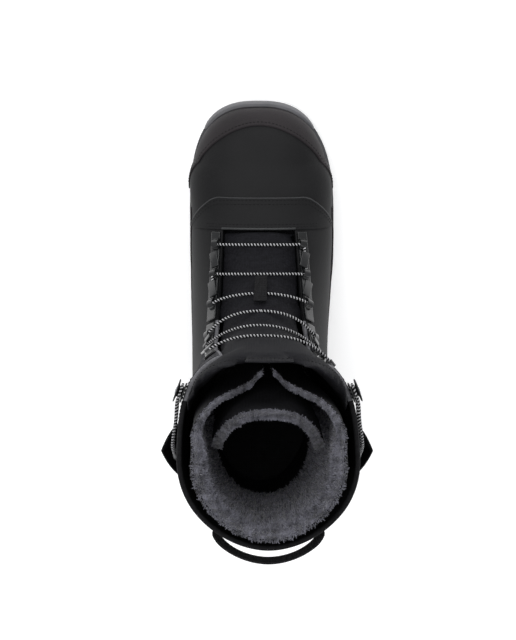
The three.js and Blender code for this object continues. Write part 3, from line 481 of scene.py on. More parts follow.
# the sole's platform and ground line, as heights for each Y
sole = {
    "feather": 26 * mm, "heelLift": 9 * mm, "toeSpring": 7 * mm, "heelBevel": 3 * mm,
    "cup": 8 * mm, "base": 7 * mm, "proud": 3 * mm,
}


def groundLine(y):
    front = np.clip((y - along(0.72)) / (along(1) - along(0.72)), 0, 1)
    rear = np.clip((along(0.1) - y) / (along(0.1) - along(0)), 0, 1)
    return sole["toeSpring"] * front**2 + sole["heelBevel"] * rear**2


def platform(y):
    return sole["feather"] + sole["heelLift"] * (1 - ease(y, along(0.25), along(0.62))) + 0.4 * groundLine(y)


def footing(s, lift, height):
    # how far round the form comes down to that height over the platform
    tries = np.linspace(0.3, 1, 141)
    points = onForm(s, tries, lift)
    below = points[:, 2] - platform(points[:, 1]) - height <= 0
    return float(tries[np.argmax(below)]) if below.any() else 1.0


footStations = np.linspace(0.06, 7.6, 152)


def footTable(lift, height):
    found = [footing(s, lift, height) for s in footStations]
    return lambda s: np.interp(s, footStations, found)


shellFoot = footTable(0.0, -1 * mm)
cupFoot = footTable(2 * mm, sole["cup"] - 1 * mm)
randFoot = footTable(2 * mm, sole["cup"] + 14 * mm)

# the throat, where the shell is open over the tongue
throat = {"start": 2.04, "top": 8.0, "medial": (0.2, 0.155), "lateral": (0.165, 0.235)}


def throatAt(sign, s):
    low, high = throat["medial"] if sign < 0 else throat["lateral"]
    return sign * mix(low, high, (s - throat["start"]) / (throat["top"] - throat["start"]))


def cuffTop(around):
    return mix(8.0, 8.8, ease(np.abs(around), 0.2, 0.72))


# the ankle: a tilted plane through it, where the quarters end and the cuff begins
bend = {"middle": Vector((0, -70 * mm, 120 * mm)), "tilt": math.radians(12.3), "reach": 13 * mm}
bendUp = Vector((0, -math.sin(bend["tilt"]), math.cos(bend["tilt"])))
seamTurns = np.linspace(0, 1, 65)


def seamStation(turn):
    tries = np.linspace(3.2, 8.0, 241)
    heights = (onForm(tries, turn) - np.array(bend["middle"])) @ np.array(bendUp)
    return tries[np.argmax(heights > 0)]


seamStations = [seamStation(turn) for turn in seamTurns]


def ankleSeam(around):
    return np.interp(np.abs(around), seamTurns, seamStations)


print("form ready")


# ways of making a mesh
def finishMesh(name, bm, material, smooth=True):
    mesh = bpy.data.meshes.new(name)
    bm.to_mesh(mesh)
    bm.free()
    for one in material if isinstance(material, (list, tuple)) else [material]:
        mesh.materials.append(materials[one])
    for polygon in mesh.polygons:
        polygon.use_smooth = smooth
    return addObject(name, mesh)


def mappedGrid(place, across, upward, clothSize=None):
    # a grid of cells whose corners go where place(v, u) says; v runs across and u up, 0 to 1
    bm = bmesh.new()
    layer = bm.loops.layers.uv.new("cloth")
    bmesh.ops.create_grid(bm, x_segments=across, y_segments=upward, size=0.5, calc_uvs=True)
    corners = np.array([vert.co for vert in bm.verts])
    points = place(corners[:, 0] + 0.5, corners[:, 1] + 0.5)
    for vert, point in zip(bm.verts, points):
        vert.co = point
    if clothSize is None:
        middle = np.linspace(0, 1, 33)
        spanAcross = place(middle, np.full(33, 0.5))
        spanUp = place(np.full(33, 0.5), middle)
        clothSize = [np.linalg.norm(np.diff(span, axis=0), axis=1).sum() for span in (spanAcross, spanUp)]
    for face in bm.faces:
        for loop in face.loops:
            loop[layer].uv = (loop[layer].uv[0] * clothSize[0], loop[layer].uv[1] * clothSize[1])
    return bm


def joinShape(bm, other):
    # adds another shape to this one and frees it
    mesh = bpy.data.meshes.new("joined")
    other.to_mesh(mesh)
    other.free()
    bm.from_mesh(mesh)
    bpy.data.meshes.remove(mesh)


def closeDoubles(bm, nearer=0.05 * mm):
    bmesh.ops.remove_doubles(bm, verts=bm.verts, dist=nearer)
    bmesh.ops.dissolve_degenerate(bm, edges=bm.edges, dist=nearer / 10)


def faceOut(bm, middle):
    # turns an open sheet's faces away from a point inside the boot
    face = max(bm.faces, key=lambda one: one.calc_area())
    if face.normal.dot(face.calc_center_median() - Vector(middle)) < 0:
        bmesh.ops.reverse_faces(bm, faces=bm.faces)


def addModifier(piece, kind, **settings):
    modifier = piece.modifiers.new(kind.lower(), kind)
    for name, value in settings.items():
        setattr(modifier, name, value)
    return modifier


def roundEdges(piece, width, segments, sharper):
    # rounds the edges that turn more sharply than that many degrees
    limit = math.radians(sharper)
    addModifier(
        piece, "BEVEL", width=width, segments=segments, limit_method="ANGLE", angle_limit=limit
    )


def thicken(piece, wall, edge=0.5 * mm, inside=None):
    solidify = addModifier(piece, "SOLIDIFY", thickness=wall, offset=-1, use_even_offset=False)
    if inside:
        piece.data.materials.append(materials[inside])
        solidify.material_offset = 1
        solidify.material_offset_rim = 1
    if edge:
        roundEdges(piece, edge, 2, 50)
    return piece


def shellPanel(name, start, end, low, high, lift, wall, material, cells, edge=0.5 * mm, inside=None):
    # a panel on the form: from start to end round it, from low to high along it
    def value(given, at):
        return given(at) if callable(given) else np.full_like(at, given)

    def place(v, u):
        edges = []
        for edge in (low, high):
            a = mix(value(start, np.full_like(v, 4.0)), value(end, np.full_like(v, 4.0)), v)
            for _ in range(5):
                s = value(edge, a)
                a = mix(value(start, s), value(end, s), v)
            edges.append(s)
        s = mix(*edges, u)
        a = mix(value(start, s), value(end, s), v)
        above = lift(s, a) if callable(lift) else lift
        return onForm(s, a, above)

    bm = mappedGrid(place, *cells)
    closeDoubles(bm)
    bm.normal_update()
    halfUp = 0.5 * sum(float(value(limit, np.zeros(1))[0]) for limit in (low, high))
    faceOut(bm, onForm(halfUp, [0.0, 1.0]).mean(axis=0))
    piece = finishMesh(name, bm, material)
    return thicken(piece, wall, edge, inside)


def smoothPath(points, steps):
    # a smooth line through the points, and its length up to each of its own points
    points = [Vector(p) for p in points]
    ends = [points[0] * 2 - points[1]] + points + [points[-1] * 2 - points[-2]]
    line = []
    for k in range(1, len(ends) - 2):
        p0, p1, p2, p3 = ends[k - 1 : k + 3]
        knots = [0.0]
        for a, b in ((p0, p1), (p1, p2), (p2, p3)):
            knots.append(knots[-1] + max((b - a).length, 1e-9) ** 0.5)
        t0, t1, t2, t3 = knots
        for i in range(steps):
            t = mix(t1, t2, i / steps)
            a1 = p0 * ((t1 - t) / (t1 - t0)) + p1 * ((t - t0) / (t1 - t0))
            a2 = p1 * ((t2 - t) / (t2 - t1)) + p2 * ((t - t1) / (t2 - t1))
            a3 = p2 * ((t3 - t) / (t3 - t2)) + p3 * ((t - t2) / (t3 - t2))
            b1 = a1 * ((t2 - t) / (t2 - t0)) + a2 * ((t - t0) / (t2 - t0))
            b2 = a2 * ((t3 - t) / (t3 - t1)) + a3 * ((t - t1) / (t3 - t1))
            line.append(b1 * ((t2 - t) / (t2 - t1)) + b2 * ((t - t1) / (t2 - t1)))
    line.append(points[-1])
    return line


def evenly(line):
    # the same line with its points the same distance apart
    points = np.array(line)
    run = np.concatenate([[0], np.cumsum(np.linalg.norm(np.diff(points, axis=0), axis=1))])
    even = np.linspace(0, run[-1], len(line))
    return [Vector([np.interp(at, run, points[:, axis]) for axis in range(3)]) for at in even]


def carried(line, firstNormal):
    # a normal for each point of a line, turned as little as possible on the way
    tangents = []
    for i in range(len(line)):
        tangents.append((line[min(i + 1, len(line) - 1)] - line[max(i - 1, 0)]).normalized())
    normals = []
    normal = Vector(firstNormal)
    for tangent in tangents:
        normal = (normal - tangent * normal.dot(tangent)).normalized()
        normals.append(normal.copy())
    return tangents, normals


def sweep(name, points, width, thick, material, steps, faces):
    # a cord or tape along a smooth line: width across, thick along its normal
    line = evenly(smoothPath(points, steps))
    tangents, normals = carried(line, (0, 0, 1))
    spans = len(line) - 1
    length = sum((b - a).length for a, b in zip(line, line[1:]))

    def place(v, u):
        placed = []
        for across, up in zip(v, u):
            i = min(int(round(up * spans)), spans)
            turn = 2 * math.pi * across
            sideways = tangents[i].cross(normals[i]).normalized()
            edge = sideways * (math.cos(turn) * width / 2) + normals[i] * (math.sin(turn) * thick / 2)
            placed.append(line[i] + edge)
        return np.array(placed)

    bm = mappedGrid(place, faces, spans, (math.pi * (width + thick) / 2, length))
    closeDoubles(bm, 0.02 * mm)
    bmesh.ops.holes_fill(bm, edges=[edge for edge in bm.edges if edge.is_boundary], sides=0)
    bmesh.ops.recalc_face_normals(bm, faces=bm.faces)
    return finishMesh(name, bm, material)


def lathe(name, outline, matrix, material, turns):
    # an outline of (radius, height) spun about its axis, then stood on the boot
    bm = bmesh.new()
    verts = [bm.verts.new((radius, 0, height)) for radius, height in outline]
    edges = [bm.edges.new(pair) for pair in zip(verts, verts[1:])]
    spun = {"geom": verts + edges, "cent": (0, 0, 0), "axis": (0, 0, 1), "dvec": (0, 0, 0)}
    bmesh.ops.spin(bm, angle=2 * math.pi, steps=turns, use_merge=True, **spun)
    closeDoubles(bm, 0.01 * mm)
    bmesh.ops.recalc_face_normals(bm, faces=bm.faces)
    bmesh.ops.transform(bm, matrix=matrix, verts=bm.verts)
    return finishMesh(name, bm, material)


def bendAtAnkle(piece):
    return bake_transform(piece)


def fit(piece, body, node=None):
    # hides the CAD node that a piece stands for, if given, and hangs the piece on an empty for the body it
    # moves with; ankle pieces are only baked in place
    if node:
        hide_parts(node)
    if body == "ankle":
        bendAtAnkle(piece)
    else:
        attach(piece, body)


stitch = {"pitch": 2.9 * mm, "length": 2.1 * mm, "thread": 0.5 * mm}


def addStitches(bm, route, lift):
    # one thread between each two needle holes along a route of (station, around) points
    s, a = np.array(route, float).T
    t = np.linspace(0, len(s) - 1, 40 * len(s))
    onRoute, aroundRoute = np.interp(t, range(len(s)), s), np.interp(t, range(len(s)), a)
    line = onForm(onRoute, aroundRoute, lift(onRoute, aroundRoute) if callable(lift) else lift)
    run = np.concatenate([[0], np.cumsum(np.linalg.norm(np.diff(line, axis=0), axis=1))])
    count = max(int(run[-1] / stitch["pitch"]), 1)
    for k in range(count):
        at = (k + 0.5) / count * run[-1]
        near = (at, at + 0.5 * mm, at - 0.5 * mm)
        here, ahead, behind = [Vector([np.interp(d, run, line[:, axis]) for axis in range(3)]) for d in near]
        index = np.interp(at, run, t)
        out = Vector(directions(np.interp(index, range(len(s)), s), np.interp(index, range(len(a)), a))[2])
        tangent = (ahead - behind).normalized()
        side = out.cross(tangent).normalized()
        out = tangent.cross(side)
        shape = Matrix.Translation(here) @ Matrix((side, tangent, out)).transposed().to_4x4()
        size = Matrix.Diagonal((stitch["thread"] / 2, stitch["length"] / 2, stitch["thread"] / 2, 1))
        bmesh.ops.create_icosphere(bm, subdivisions=1, radius=1, matrix=shape @ size)


def stitchPiece(name, routes):
    bm = bmesh.new()
    for route, lift in routes:
        addStitches(bm, route, lift)
    return finishMesh(name, bm, "sewingThread")


def padOut(piece, cap, pressure=4.0, voxel=4.5 * mm):
    # swells a closed pad with a short cloth simulation, capped so that it stays in its place
    scene = bpy.context.scene
    bpy.context.view_layer.objects.active = piece
    addModifier(piece, "REMESH", mode="VOXEL", voxel_size=voxel, use_smooth_shade=True)
    applyModifiers(piece)
    before = np.array([vert.co for vert in piece.data.vertices])
    cloth = addModifier(piece, "CLOTH")
    cloth.settings.use_pressure = True
    cloth.settings.uniform_pressure_force = pressure
    cloth.settings.effector_weights.gravity = 0
    for number in range(1, 21):
        scene.frame_set(number)
    applyModifiers(piece)
    after = np.array([vert.co for vert in piece.data.vertices])
    move = after - before
    far = np.linalg.norm(move, axis=1, keepdims=True)
    kept = before + move * np.minimum(1, cap / np.maximum(far, 1e-9))
    for vert, point in zip(piece.data.vertices, kept):
        vert.co = point
    for polygon in piece.data.polygons:
        polygon.use_smooth = True
    scene.frame_set(1)
    addModifier(piece, "SUBSURF", levels=1, render_levels=1)
    return piece


def applyModifiers(piece):
    graph = bpy.context.evaluated_depsgraph_get()
    mesh = bpy.data.meshes.new_from_object(piece.evaluated_get(graph))
    old = piece.data
    piece.modifiers.clear()
    piece.data = mesh
    bpy.data.meshes.remove(old)
    return piece


# the sole
# shares of the way round where the toe's curve ends and the heel's begins, and the heel's roundness
soleCurve = {"toeEnd": 0.27, "heelStart": 0.74, "heelPower": 2.3, "heelMiddle": along(0.16)}


def soleEdge(turn, grow):
    # the sole's outline from above: turn 0 is the toe, 0.5 the heel, by way of the outside of the foot
    heelHalf = 0.8 * ball
    t = np.asarray(turn) * 2 * np.pi
    cosine, sine = np.cos(t), np.sin(t)
    reachToe = along(1) + grow - toe["ballLine"]
    reachHeel = soleCurve["heelMiddle"] - along(0) + grow
    straight = toe["ballLine"] - soleCurve["heelMiddle"]
    toeEnd, heelStart = soleCurve["toeEnd"], soleCurve["heelStart"]
    half = np.abs(((np.asarray(turn) + 0.5) % 1) - 0.5) * 2
    sign = np.where(np.asarray(turn) % 1 < 0.5, 1, -1)
    toePart = half < toeEnd
    heelPart = half > heelStart
    angleToe = np.minimum(half / toeEnd * np.pi / 2, np.pi / 2)
    angleHeel = np.clip((half - heelStart) / (1 - heelStart), 0, 1) * np.pi / 2
    yToe = toe["ballLine"] + reachToe * np.cos(angleToe) ** (2 / toe["plan"])
    yHeel = soleCurve["heelMiddle"] - reachHeel * np.sin(angleHeel) ** (2 / soleCurve["heelPower"])
    ySide = toe["ballLine"] - straight * (half - toeEnd) / (heelStart - toeEnd)
    y = np.where(toePart, yToe, np.where(heelPart, yHeel, ySide))
    narrow = 1 - ease(y, along(0.3), along(0.62))
    wide = mix(ball, heelHalf, narrow) + sole["proud"] + grow
    xToe = np.abs(np.sin(angleToe)) ** (2 / toe["plan"])
    xHeel = np.abs(np.cos(angleHeel)) ** (2 / soleCurve["heelPower"])
    across = np.where(toePart, xToe, np.where(heelPart, xHeel, 1))
    sideways = (1.5 * (1 - ease(y, along(0.7), along(1))) - ease(y, along(0.85), along(1))) * mm
    return sign * wide * across + sideways, y


def soleRingPiece(name, profile, material, cells, turns=(0, 1), edge=0.6 * mm):
    # rings of the sole's outline, grown and raised as the profile says, closed above and below
    whole = turns == (0, 1)
    grows = [grow for grow, _ in profile]
    positions = np.linspace(0, 1, len(profile))

    def place(v, u):
        turn = mix(turns[0], turns[1], v)
        full = np.ones_like(v) if whole else closing(np.abs(2 * v - 1), 3.5)
        x, y = soleEdge(turn, mix(-1 * mm, np.interp(u, positions, grows), full))
        rings = zip(positions, profile)
        z = sum(np.where(np.isclose(u, position), height(y), 0) for position, (_, height) in rings)
        return np.column_stack([x, y, mix(platform(y) - 4 * mm, z, full)])

    bm = mappedGrid(place, cells, len(profile) - 1)
    closeDoubles(bm, 0.02 * mm)
    if whole:
        bmesh.ops.holes_fill(bm, edges=[one for one in bm.edges if one.is_boundary], sides=0)
    bmesh.ops.recalc_face_normals(bm, faces=bm.faces)
    piece = finishMesh(name, bm, material)
    roundEdges(piece, edge, 3, 28)
    return piece


def overBase(height):
    return lambda y: sole["base"] + height + groundLine(y)


def overPlatform(height):
    return lambda y: platform(y) + height


def betweenThem(share):
    return lambda y: mix(overBase(6 * mm)(y), platform(y), share)


cup = sole["cup"]
midsoleProfile = [
    (-1.6 * mm, overBase(0.35 * mm)), (0.0, overBase(6 * mm)), (-0.2 * mm, betweenThem(0.45)),
    (-0.9 * mm, betweenThem(0.55)), (-0.4 * mm, platform), (-2.0 * mm, overPlatform(cup)),
    (-5.5 * mm, overPlatform(cup - 0.6 * mm)),
]
midsole = soleRingPiece("midsole", midsoleProfile, "mouldedFoam", 220)
fit(midsole, "lower", "midsole")

bumperProfile = [
    (-2.0 * mm, overBase(0.4 * mm)), (0.6 * mm, overBase(1.0 * mm)), (1.7 * mm, overBase(6 * mm)),
    (1.9 * mm, overPlatform(2.5 * mm)), (0.6 * mm, overPlatform(cup + 0.4 * mm)),
    (-1.6 * mm, overPlatform(cup + 0.8 * mm)), (-2.6 * mm, overPlatform(cup - 1.0 * mm)),
    (-1.0 * mm, overPlatform(1.0 * mm)), (-0.6 * mm, overBase(6 * mm)), (-2.0 * mm, overBase(0.4 * mm)),
]
bumper = soleRingPiece("toeBumper", bumperProfile, "bumperRubber", 90, turns=(-0.066, 0.066), edge=0.4 * mm)
fit(bumper, "lower", "toe_bumper")

for node, finish in {
    "outsole_front": "treadRubber", "outsole_heel": "treadRubber", "shank": "pressedSteel",
    "lasting_board": "fibreBoard",
}.items():
    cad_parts[node].data.materials.clear()
    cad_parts[node].data.materials.append(materials[finish])
print("sole ready")

# the shell's foot
upper = {"lift": 0.8 * mm, "wall": 2.4 * mm, "over": 1.9 * mm, "overWall": 1.2 * mm}
overlay = {"front": 1.52, "corner": 0.46, "flat": 0.24, "reach": 0.46, "back": 2.06}

vamp = shellPanel(
    "vamp", lambda s: -shellFoot(s), shellFoot, 0.0, overlay["back"], upper["lift"], upper["wall"],
    "coatedSynthetic", (150, 60), inside="tricotLining",
)
fit(vamp, "lower", "vamp")

capSeam = {"middle": 0.53, "sweep": 0.95, "power": 2.2}


def capBack(around):
    share = np.clip(np.abs(around) / cupFoot(1.2), 0, 1)
    return capSeam["middle"] + capSeam["sweep"] * share ** capSeam["power"]


toeCap = shellPanel(
    "toeCap", lambda s: -cupFoot(s), cupFoot, 0.0, capBack, upper["over"], upper["overWall"],
    "toeRubber", (150, 36),
)
fit(toeCap, "lower", "toe_cap")


def overlayFront(around):
    # straight across the middle, then a slanting corner on both sides
    share = np.clip((np.abs(around) - overlay["flat"]) / (overlay["reach"] - overlay["flat"]), 0, 1)
    return overlay["front"] + overlay["corner"] * share**1.15


throatOverlay = shellPanel(
    "throatOverlay", -overlay["reach"], overlay["reach"], overlayFront, overlay["back"], upper["over"],
    upper["overWall"], "coatedSynthetic", (110, 14),
)
fit(throatOverlay, "lower", "throat_overlay")

for side, sign in sides.items():
    def throatEdge(s, sign=sign):
        return throatAt(sign, s)

    def footEdge(s, sign=sign):
        return sign * np.minimum(shellFoot(s), 0.999)

    def ankleEdge(around):
        return ankleSeam(around) + 0.12

    quarter = shellPanel(
        "quarter" + side.title(), throatEdge, footEdge, throat["start"], ankleEdge, upper["lift"],
        upper["wall"], "coatedSynthetic", (90, 90), inside="tricotLining",
    )
    fit(quarter, "ankle", "quarter_" + side)

    def randTop(s, sign=sign):
        return sign * randFoot(s)

    def randLow(s, sign=sign):
        return sign * cupFoot(s)

    rand = shellPanel(
        "rand" + side.title(), randTop, randLow, 1.75, 4.3, upper["over"], upper["overWall"],
        "toeRubber", (12, 60),
    )
    fit(rand, "lower", "rand_" + side)


# the heel counter, cut to its own top line
def counterPlace(v, u):
    a = mix(0.5, 1.5, v)
    s = mix(4.6, 7.2, u)
    return onForm(s, a, upper["over"])


counterShape = mappedGrid(counterPlace, 120, 60)
counterLine = [(0.26, 0.0), (0.2, 0.2), (0.12, 0.3), (-0.1, 0.3)]
for (yLow, zLow), (yHigh, zHigh) in zip(counterLine, counterLine[1:]):
    low = Vector((0, along(yLow), upTo(zLow)))
    run = Vector((0, along(yHigh), upTo(zHigh))) - low
    cutNormal = Vector((0, run.z, -run.y)).normalized()
    everything = list(counterShape.verts) + list(counterShape.edges) + list(counterShape.faces)
    bmesh.ops.bisect_plane(counterShape, geom=everything, plane_co=low, plane_no=cutNormal, clear_outer=True)
belowCup = [vert for vert in counterShape.verts if vert.co.z < platform(vert.co.y) + sole["cup"] - 2 * mm]
bmesh.ops.delete(counterShape, geom=belowCup, context="VERTS")
closeDoubles(counterShape)
counterShape.normal_update()
faceOut(counterShape, (0, along(0.25), 60 * mm))
heelCounter = thicken(finishMesh("heelCounter", counterShape, "toeRubber"), upper["overWall"])
fit(heelCounter, "lower", "heel_counter")
print("foot ready")

# the cuff
binding = {"size": 3.6 * mm, "in": 1.7 * mm, "turn": 0.36}

for side, sign in sides.items():
    def frontEdge(s, sign=sign):
        return throatAt(sign, s)

    def cuffFoot(around):
        return ankleSeam(around) - 0.02

    cuffPanel = shellPanel(
        "cuff" + side.title(), frontEdge, sign * 0.999, cuffFoot, cuffTop, upper["lift"] + 0.25 * mm,
        3.4 * mm, "heatherTextile", (110, 110), inside="tricotLining",
    )
    fit(cuffPanel, "ankle", "cuff_" + side)

    # the tape that binds the cuff's front and top edges
    corner = abs(throatAt(sign, 8.0)) + 0.004
    paleRoute = [(s, throatAt(sign, s)) for s in np.linspace(4.3, 7.9, 19)]
    paleRoute += [(float(cuffTop(a)), sign * a) for a in np.linspace(corner, binding["turn"], 8)]
    blackRoute = [(float(cuffTop(a)), sign * a) for a in np.linspace(binding["turn"], 1.003, 26)]
    for shade, route, finish in (("pale", paleRoute, "bindingTape"), ("black", blackRoute, "blackTape")):
        tapePoints = [onForm(s, a, upper["lift"] - binding["in"]) for s, a in route]
        size = binding["size"]
        tape = sweep(f"{shade}Tape{side.title()}", tapePoints, size, size, finish, 4, 12)
        fit(tape, "ankle")

backstay = shellPanel(
    "backstay", 0.93, 1.07, 6.9, 8.75, upper["over"] + 0.3 * mm, upper["overWall"],
    "coatedSynthetic", (24, 60),
)
fit(backstay, "cuff", "backstay")
print("cuff ready")

# the tongue
tongue = {"deep": -8.2 * mm, "edge": -3.4 * mm, "crown": 1.2 * mm, "top": 8.72, "droop": 0.5}


def tongueOut(s, around):
    # the crown is as wide as the throat between the flaps, and spreads above them to one smooth arch
    edge = np.where(around < 0, throatAt(-1, s), throatAt(1, s))
    edge = mix(np.abs(edge), 0.46, ease(s, 7.9, 8.6))
    inside = 1 - ease(np.abs(around) / edge, 0.45, 0.95)
    return mix(tongue["edge"], tongue["crown"], inside)


def padPiece(name, start, end, low, high, outer, inner, material, cells, shift=None):
    # a closed pad between two skins of the form, meeting in a rounded edge all round
    def place(v, u, skin):
        guess = mix(start(4.0 + 0 * v), end(4.0 + 0 * v), v)
        s = mix(low(guess, v), high(guess, v), u)
        a = mix(start(s), end(s), v)
        point = onForm(s, a, outer(s, a) if skin else inner(s, a))
        if shift is not None:
            point[:, 1] -= shift(s, a)
        return point

    bm = mappedGrid(lambda v, u: place(v, u, True), *cells)
    other = mappedGrid(lambda v, u: place(v, u, False), *cells)
    joinShape(bm, other)
    rims = [edge for edge in bm.edges if edge.is_boundary]
    bmesh.ops.bridge_loops(bm, edges=rims)
    bmesh.ops.recalc_face_normals(bm, faces=bm.faces)
    return finishMesh(name, bm, material)


tongueLower = padPiece(
    "tongueLower", lambda s: 1.15 * throatAt(-1, s), lambda s: 1.15 * throatAt(1, s),
    lambda a, v: 2.08 + 0 * v, lambda a, v: 4.35 + 0 * v, tongueOut, lambda s, a: tongue["deep"] + 0 * s,
    "tongueTextile", (40, 60),
)
padOut(tongueLower, 0.8 * mm)
fit(tongueLower, "ankle", "tongue_lower")


def tongueTop(share):
    # the top edge, from one side (0) to the other (1)
    return tongue["top"] - tongue["droop"] * np.abs(2 * share - 1) ** 2.5


def shinEdge(sign):
    # beside the throat low down, well behind the cuff's flaps at the top
    return lambda s: mix(0.93 * throatAt(sign, s), sign * 0.4, ease(s, 6.6, 8.3))


tongueShin = padPiece(
    "tongueShin", shinEdge(-1), shinEdge(1), lambda a, v: 4.0 + 0 * v,
    lambda a, v: tongueTop(v), tongueOut,
    lambda s, a: mix(tongue["deep"], tongueOut(s, a) - 3 * mm, ease(s, 7.9, 8.7)), "tongueTextile", (44, 110),
)
padOut(tongueShin, 1.4 * mm)
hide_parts("tongue_shin")
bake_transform(tongueShin)
print("tongue ready")

# the inner boot
liner = {
    "wall": 7 * mm, "foot": 4.5 * mm, "skin": 2.5 * mm, "roll": (2.2 * mm, 4.8 * mm), "rollStation": 0.1,
    # how far in it lies, in millimetres: all round, under the tongue, in the shaft and at the lapels
    "in": 5.12, "underTongue": 5.8, "inShaft": 5, "lapel": 9,
    "notch": 0.022,
}


def linerOut(s, around):
    front = 1 - ease(np.abs(around), 0.3, 0.42)
    shaft = ease(s, 6.5, 8.8) * ease(np.abs(around), 0.3, 0.5)
    underTongue = front * ease(s, 1.5, 2.1)
    lapel = ease(np.abs(around), 0.01, 0.1) * (1 - ease(np.abs(around), 0.14, 0.34)) * ease(s, 6.6, 8.2)
    deep = liner["underTongue"] * underTongue + liner["inShaft"] * shaft + liner["lapel"] * lapel
    return -(liner["in"] + deep) * mm


def rollAt(around):
    # the rim's rolled edge is thin beside the notch and full round the back
    return mix(*liner["roll"], ease(np.abs(around), 0.3, 0.6))


def fromNotch(share):
    # 0 to 1 runs from one side of the front notch round the back to the other
    return (liner["notch"] + 2 * (1 - liner["notch"]) * share + 1) % 2 - 1


def linerTop(around):
    return mix(8.1, 8.9, ease(np.abs(around), 0.03, 0.5))


def linerSkin(around, up, height):
    # the liner's skin at height over it: up is 0 deep inside, 1 at the start of the rolled rim,
    # 2 at the end of the roll on the outside and 3 at the ankle outside
    top = linerTop(around)
    middle = linerOut(top, around) - liner["wall"] / 2
    centre = onForm(top + liner["rollStation"], around, middle)
    _, rise, out = directions(top, around, middle)
    angle = np.pi * np.clip(up - 1, 0, 1)
    roll = rollAt(around)
    height = height * mix(0.55, 1, ease(np.abs(around), 0.3, 0.6))
    radius = (roll + height)[:, None]
    rolled = centre + radius * (-np.cos(angle)[:, None] * out + np.sin(angle)[:, None] * rise)
    deep = mix(ankleSeam(around), top + liner["rollStation"], np.clip(up, 0, 1))
    inner = onForm(deep, around, linerOut(deep, around) - liner["wall"] / 2 - roll - height)
    low = mix(top + liner["rollStation"], ankleSeam(around) - 0.2, np.clip(up - 2, 0, 1))
    outer = onForm(low, around, linerOut(low, around) - liner["wall"] / 2 + roll * 0.7 + height)
    return np.where((up < 1)[:, None], inner, np.where((up > 2)[:, None], outer, rolled))


def linerPlace(v, u):
    return linerSkin(fromNotch(v), 1.62 + 1.38 * u, np.zeros_like(v))


linerShape = mappedGrid(linerPlace, 160, 70)
closeDoubles(linerShape)
linerShape.normal_update()
faceOut(linerShape, (0, -60 * mm, 200 * mm))
linerShaft = thicken(finishMesh("linerShaft", linerShape, "linerNylon"), liner["skin"], edge=0)
fit(linerShaft, "ankle", "liner_cuff")


def sockPlace(v, u):
    around = 2 * v - 1
    return onForm(mix(0.1, ankleSeam(around) + 0.1, u), around, linerOut(mix(0.1, 7.0, u), around))


sockShape = mappedGrid(sockPlace, 80, 60)
closeDoubles(sockShape)
sockShape.normal_update()
faceOut(sockShape, (0, 0, 60 * mm))
linerFoot = thicken(finishMesh("linerFoot", sockShape, "linerNylon"), liner["foot"], edge=0)
fit(linerFoot, "ankle", "liner_foot")

# the pile: tapered tufts that lean every way, on a tile that is laid side by side
pile = {"tile": 24 * mm, "count": 330, "tall": 3.8 * mm, "wide": 1.25 * mm, "seed": 11}


def tuftTile(seed):
    pick = random.Random(seed)
    bm = bmesh.new()
    for _ in range(pile["count"]):
        at = Vector((pick.random() * pile["tile"], pick.random() * pile["tile"], 0))
        tall = pile["tall"] * pick.uniform(0.55, 1.1)
        turn = Matrix.Rotation(pick.uniform(0, 2 * math.pi), 4, "Z")
        lean = turn @ Matrix.Rotation(pick.uniform(0.1, 1.0), 4, "X")
        stand = Matrix.Translation(at) @ lean @ Matrix.Translation((0, 0, tall * 0.4))
        foot, tip = pile["wide"] / 2, pile["wide"] * 0.2
        bmesh.ops.create_cone(
            bm, cap_ends=True, segments=3, radius1=foot, radius2=tip, depth=tall, matrix=stand
        )
    tile = bpy.data.meshes.new("tuftTile")
    bm.to_mesh(tile)
    bm.free()
    return tile


tiles = [tuftTile(pile["seed"] + k) for k in range(4)]


def pileSheet(width, height, place):
    # tufts over a sheet of that size, each point (across, up, off the sheet) going where place says
    bm = bmesh.new()
    columns, rows = math.ceil(width / pile["tile"]), math.ceil(height / pile["tile"])
    for column in range(columns):
        for row in range(rows):
            known = len(bm.verts)
            bm.from_mesh(tiles[(column * 7 + row * 3) % len(tiles)])
            bm.verts.ensure_lookup_table()
            shift = Vector((column * pile["tile"], row * pile["tile"], 0))
            for vert in bm.verts[known:]:
                vert.co += shift
    flat = np.array([vert.co for vert in bm.verts])
    squeeze = np.array([width / (columns * pile["tile"]), height / (rows * pile["tile"]), 1])
    points = place(*(flat * squeeze).T)
    for vert, point in zip(bm.verts, points):
        vert.co = point
    return bm


def fleecePiece(name, width, height, place, backing, cells):
    bm = pileSheet(width, height, place)
    ground = mappedGrid(backing, *cells)
    closeDoubles(ground)
    bmesh.ops.solidify(ground, geom=list(ground.faces), thickness=1.2 * mm)
    bmesh.ops.recalc_face_normals(ground, faces=ground.faces)
    joinShape(bm, ground)
    return finishMesh(name, bm, "fleecePile", smooth=False)


lumps = random.Random(5)
lumpPhase = [lumps.uniform(0, 6.28) for _ in range(8)]


def lump(x, y):
    # gentle swells about 10 mm across, as sherpa has
    total = np.zeros_like(x)
    for k, (p, q) in enumerate(((0.9, 0.3), (-0.5, 1.0), (0.2, -1.1), (1.1, 0.8))):
        total += np.sin((x * p + y * q) / (1.9 * mm) + lumpPhase[k])
    return total * 0.25 * mm


def tuftHeight(x, y, h):
    return np.maximum(h, -1 * mm) + lump(x, y)


collarSize = {"round": 360 * mm, "rollUp": 17 * mm, "deep": 78 * mm, "rolled": 0.72}


def collarPlace(x, y, h):
    around = fromNotch(x / collarSize["round"])
    return linerSkin(around, 1 + collarSize["rolled"] * y / collarSize["rollUp"], tuftHeight(x, y, h))


def collarGround(v, u):
    return linerSkin(fromNotch(v), 1 + collarSize["rolled"] * u, np.zeros_like(v))


linerCollar = fleecePiece(
    "linerCollar", collarSize["round"], collarSize["rollUp"], collarPlace, collarGround, (180, 12)
)
fit(linerCollar, "cuff", "liner_collar")


def liningPlace(x, y, h):
    around = fromNotch(x / collarSize["round"])
    return linerSkin(around, 0.02 + 0.98 * y / collarSize["deep"], tuftHeight(x, y, h))


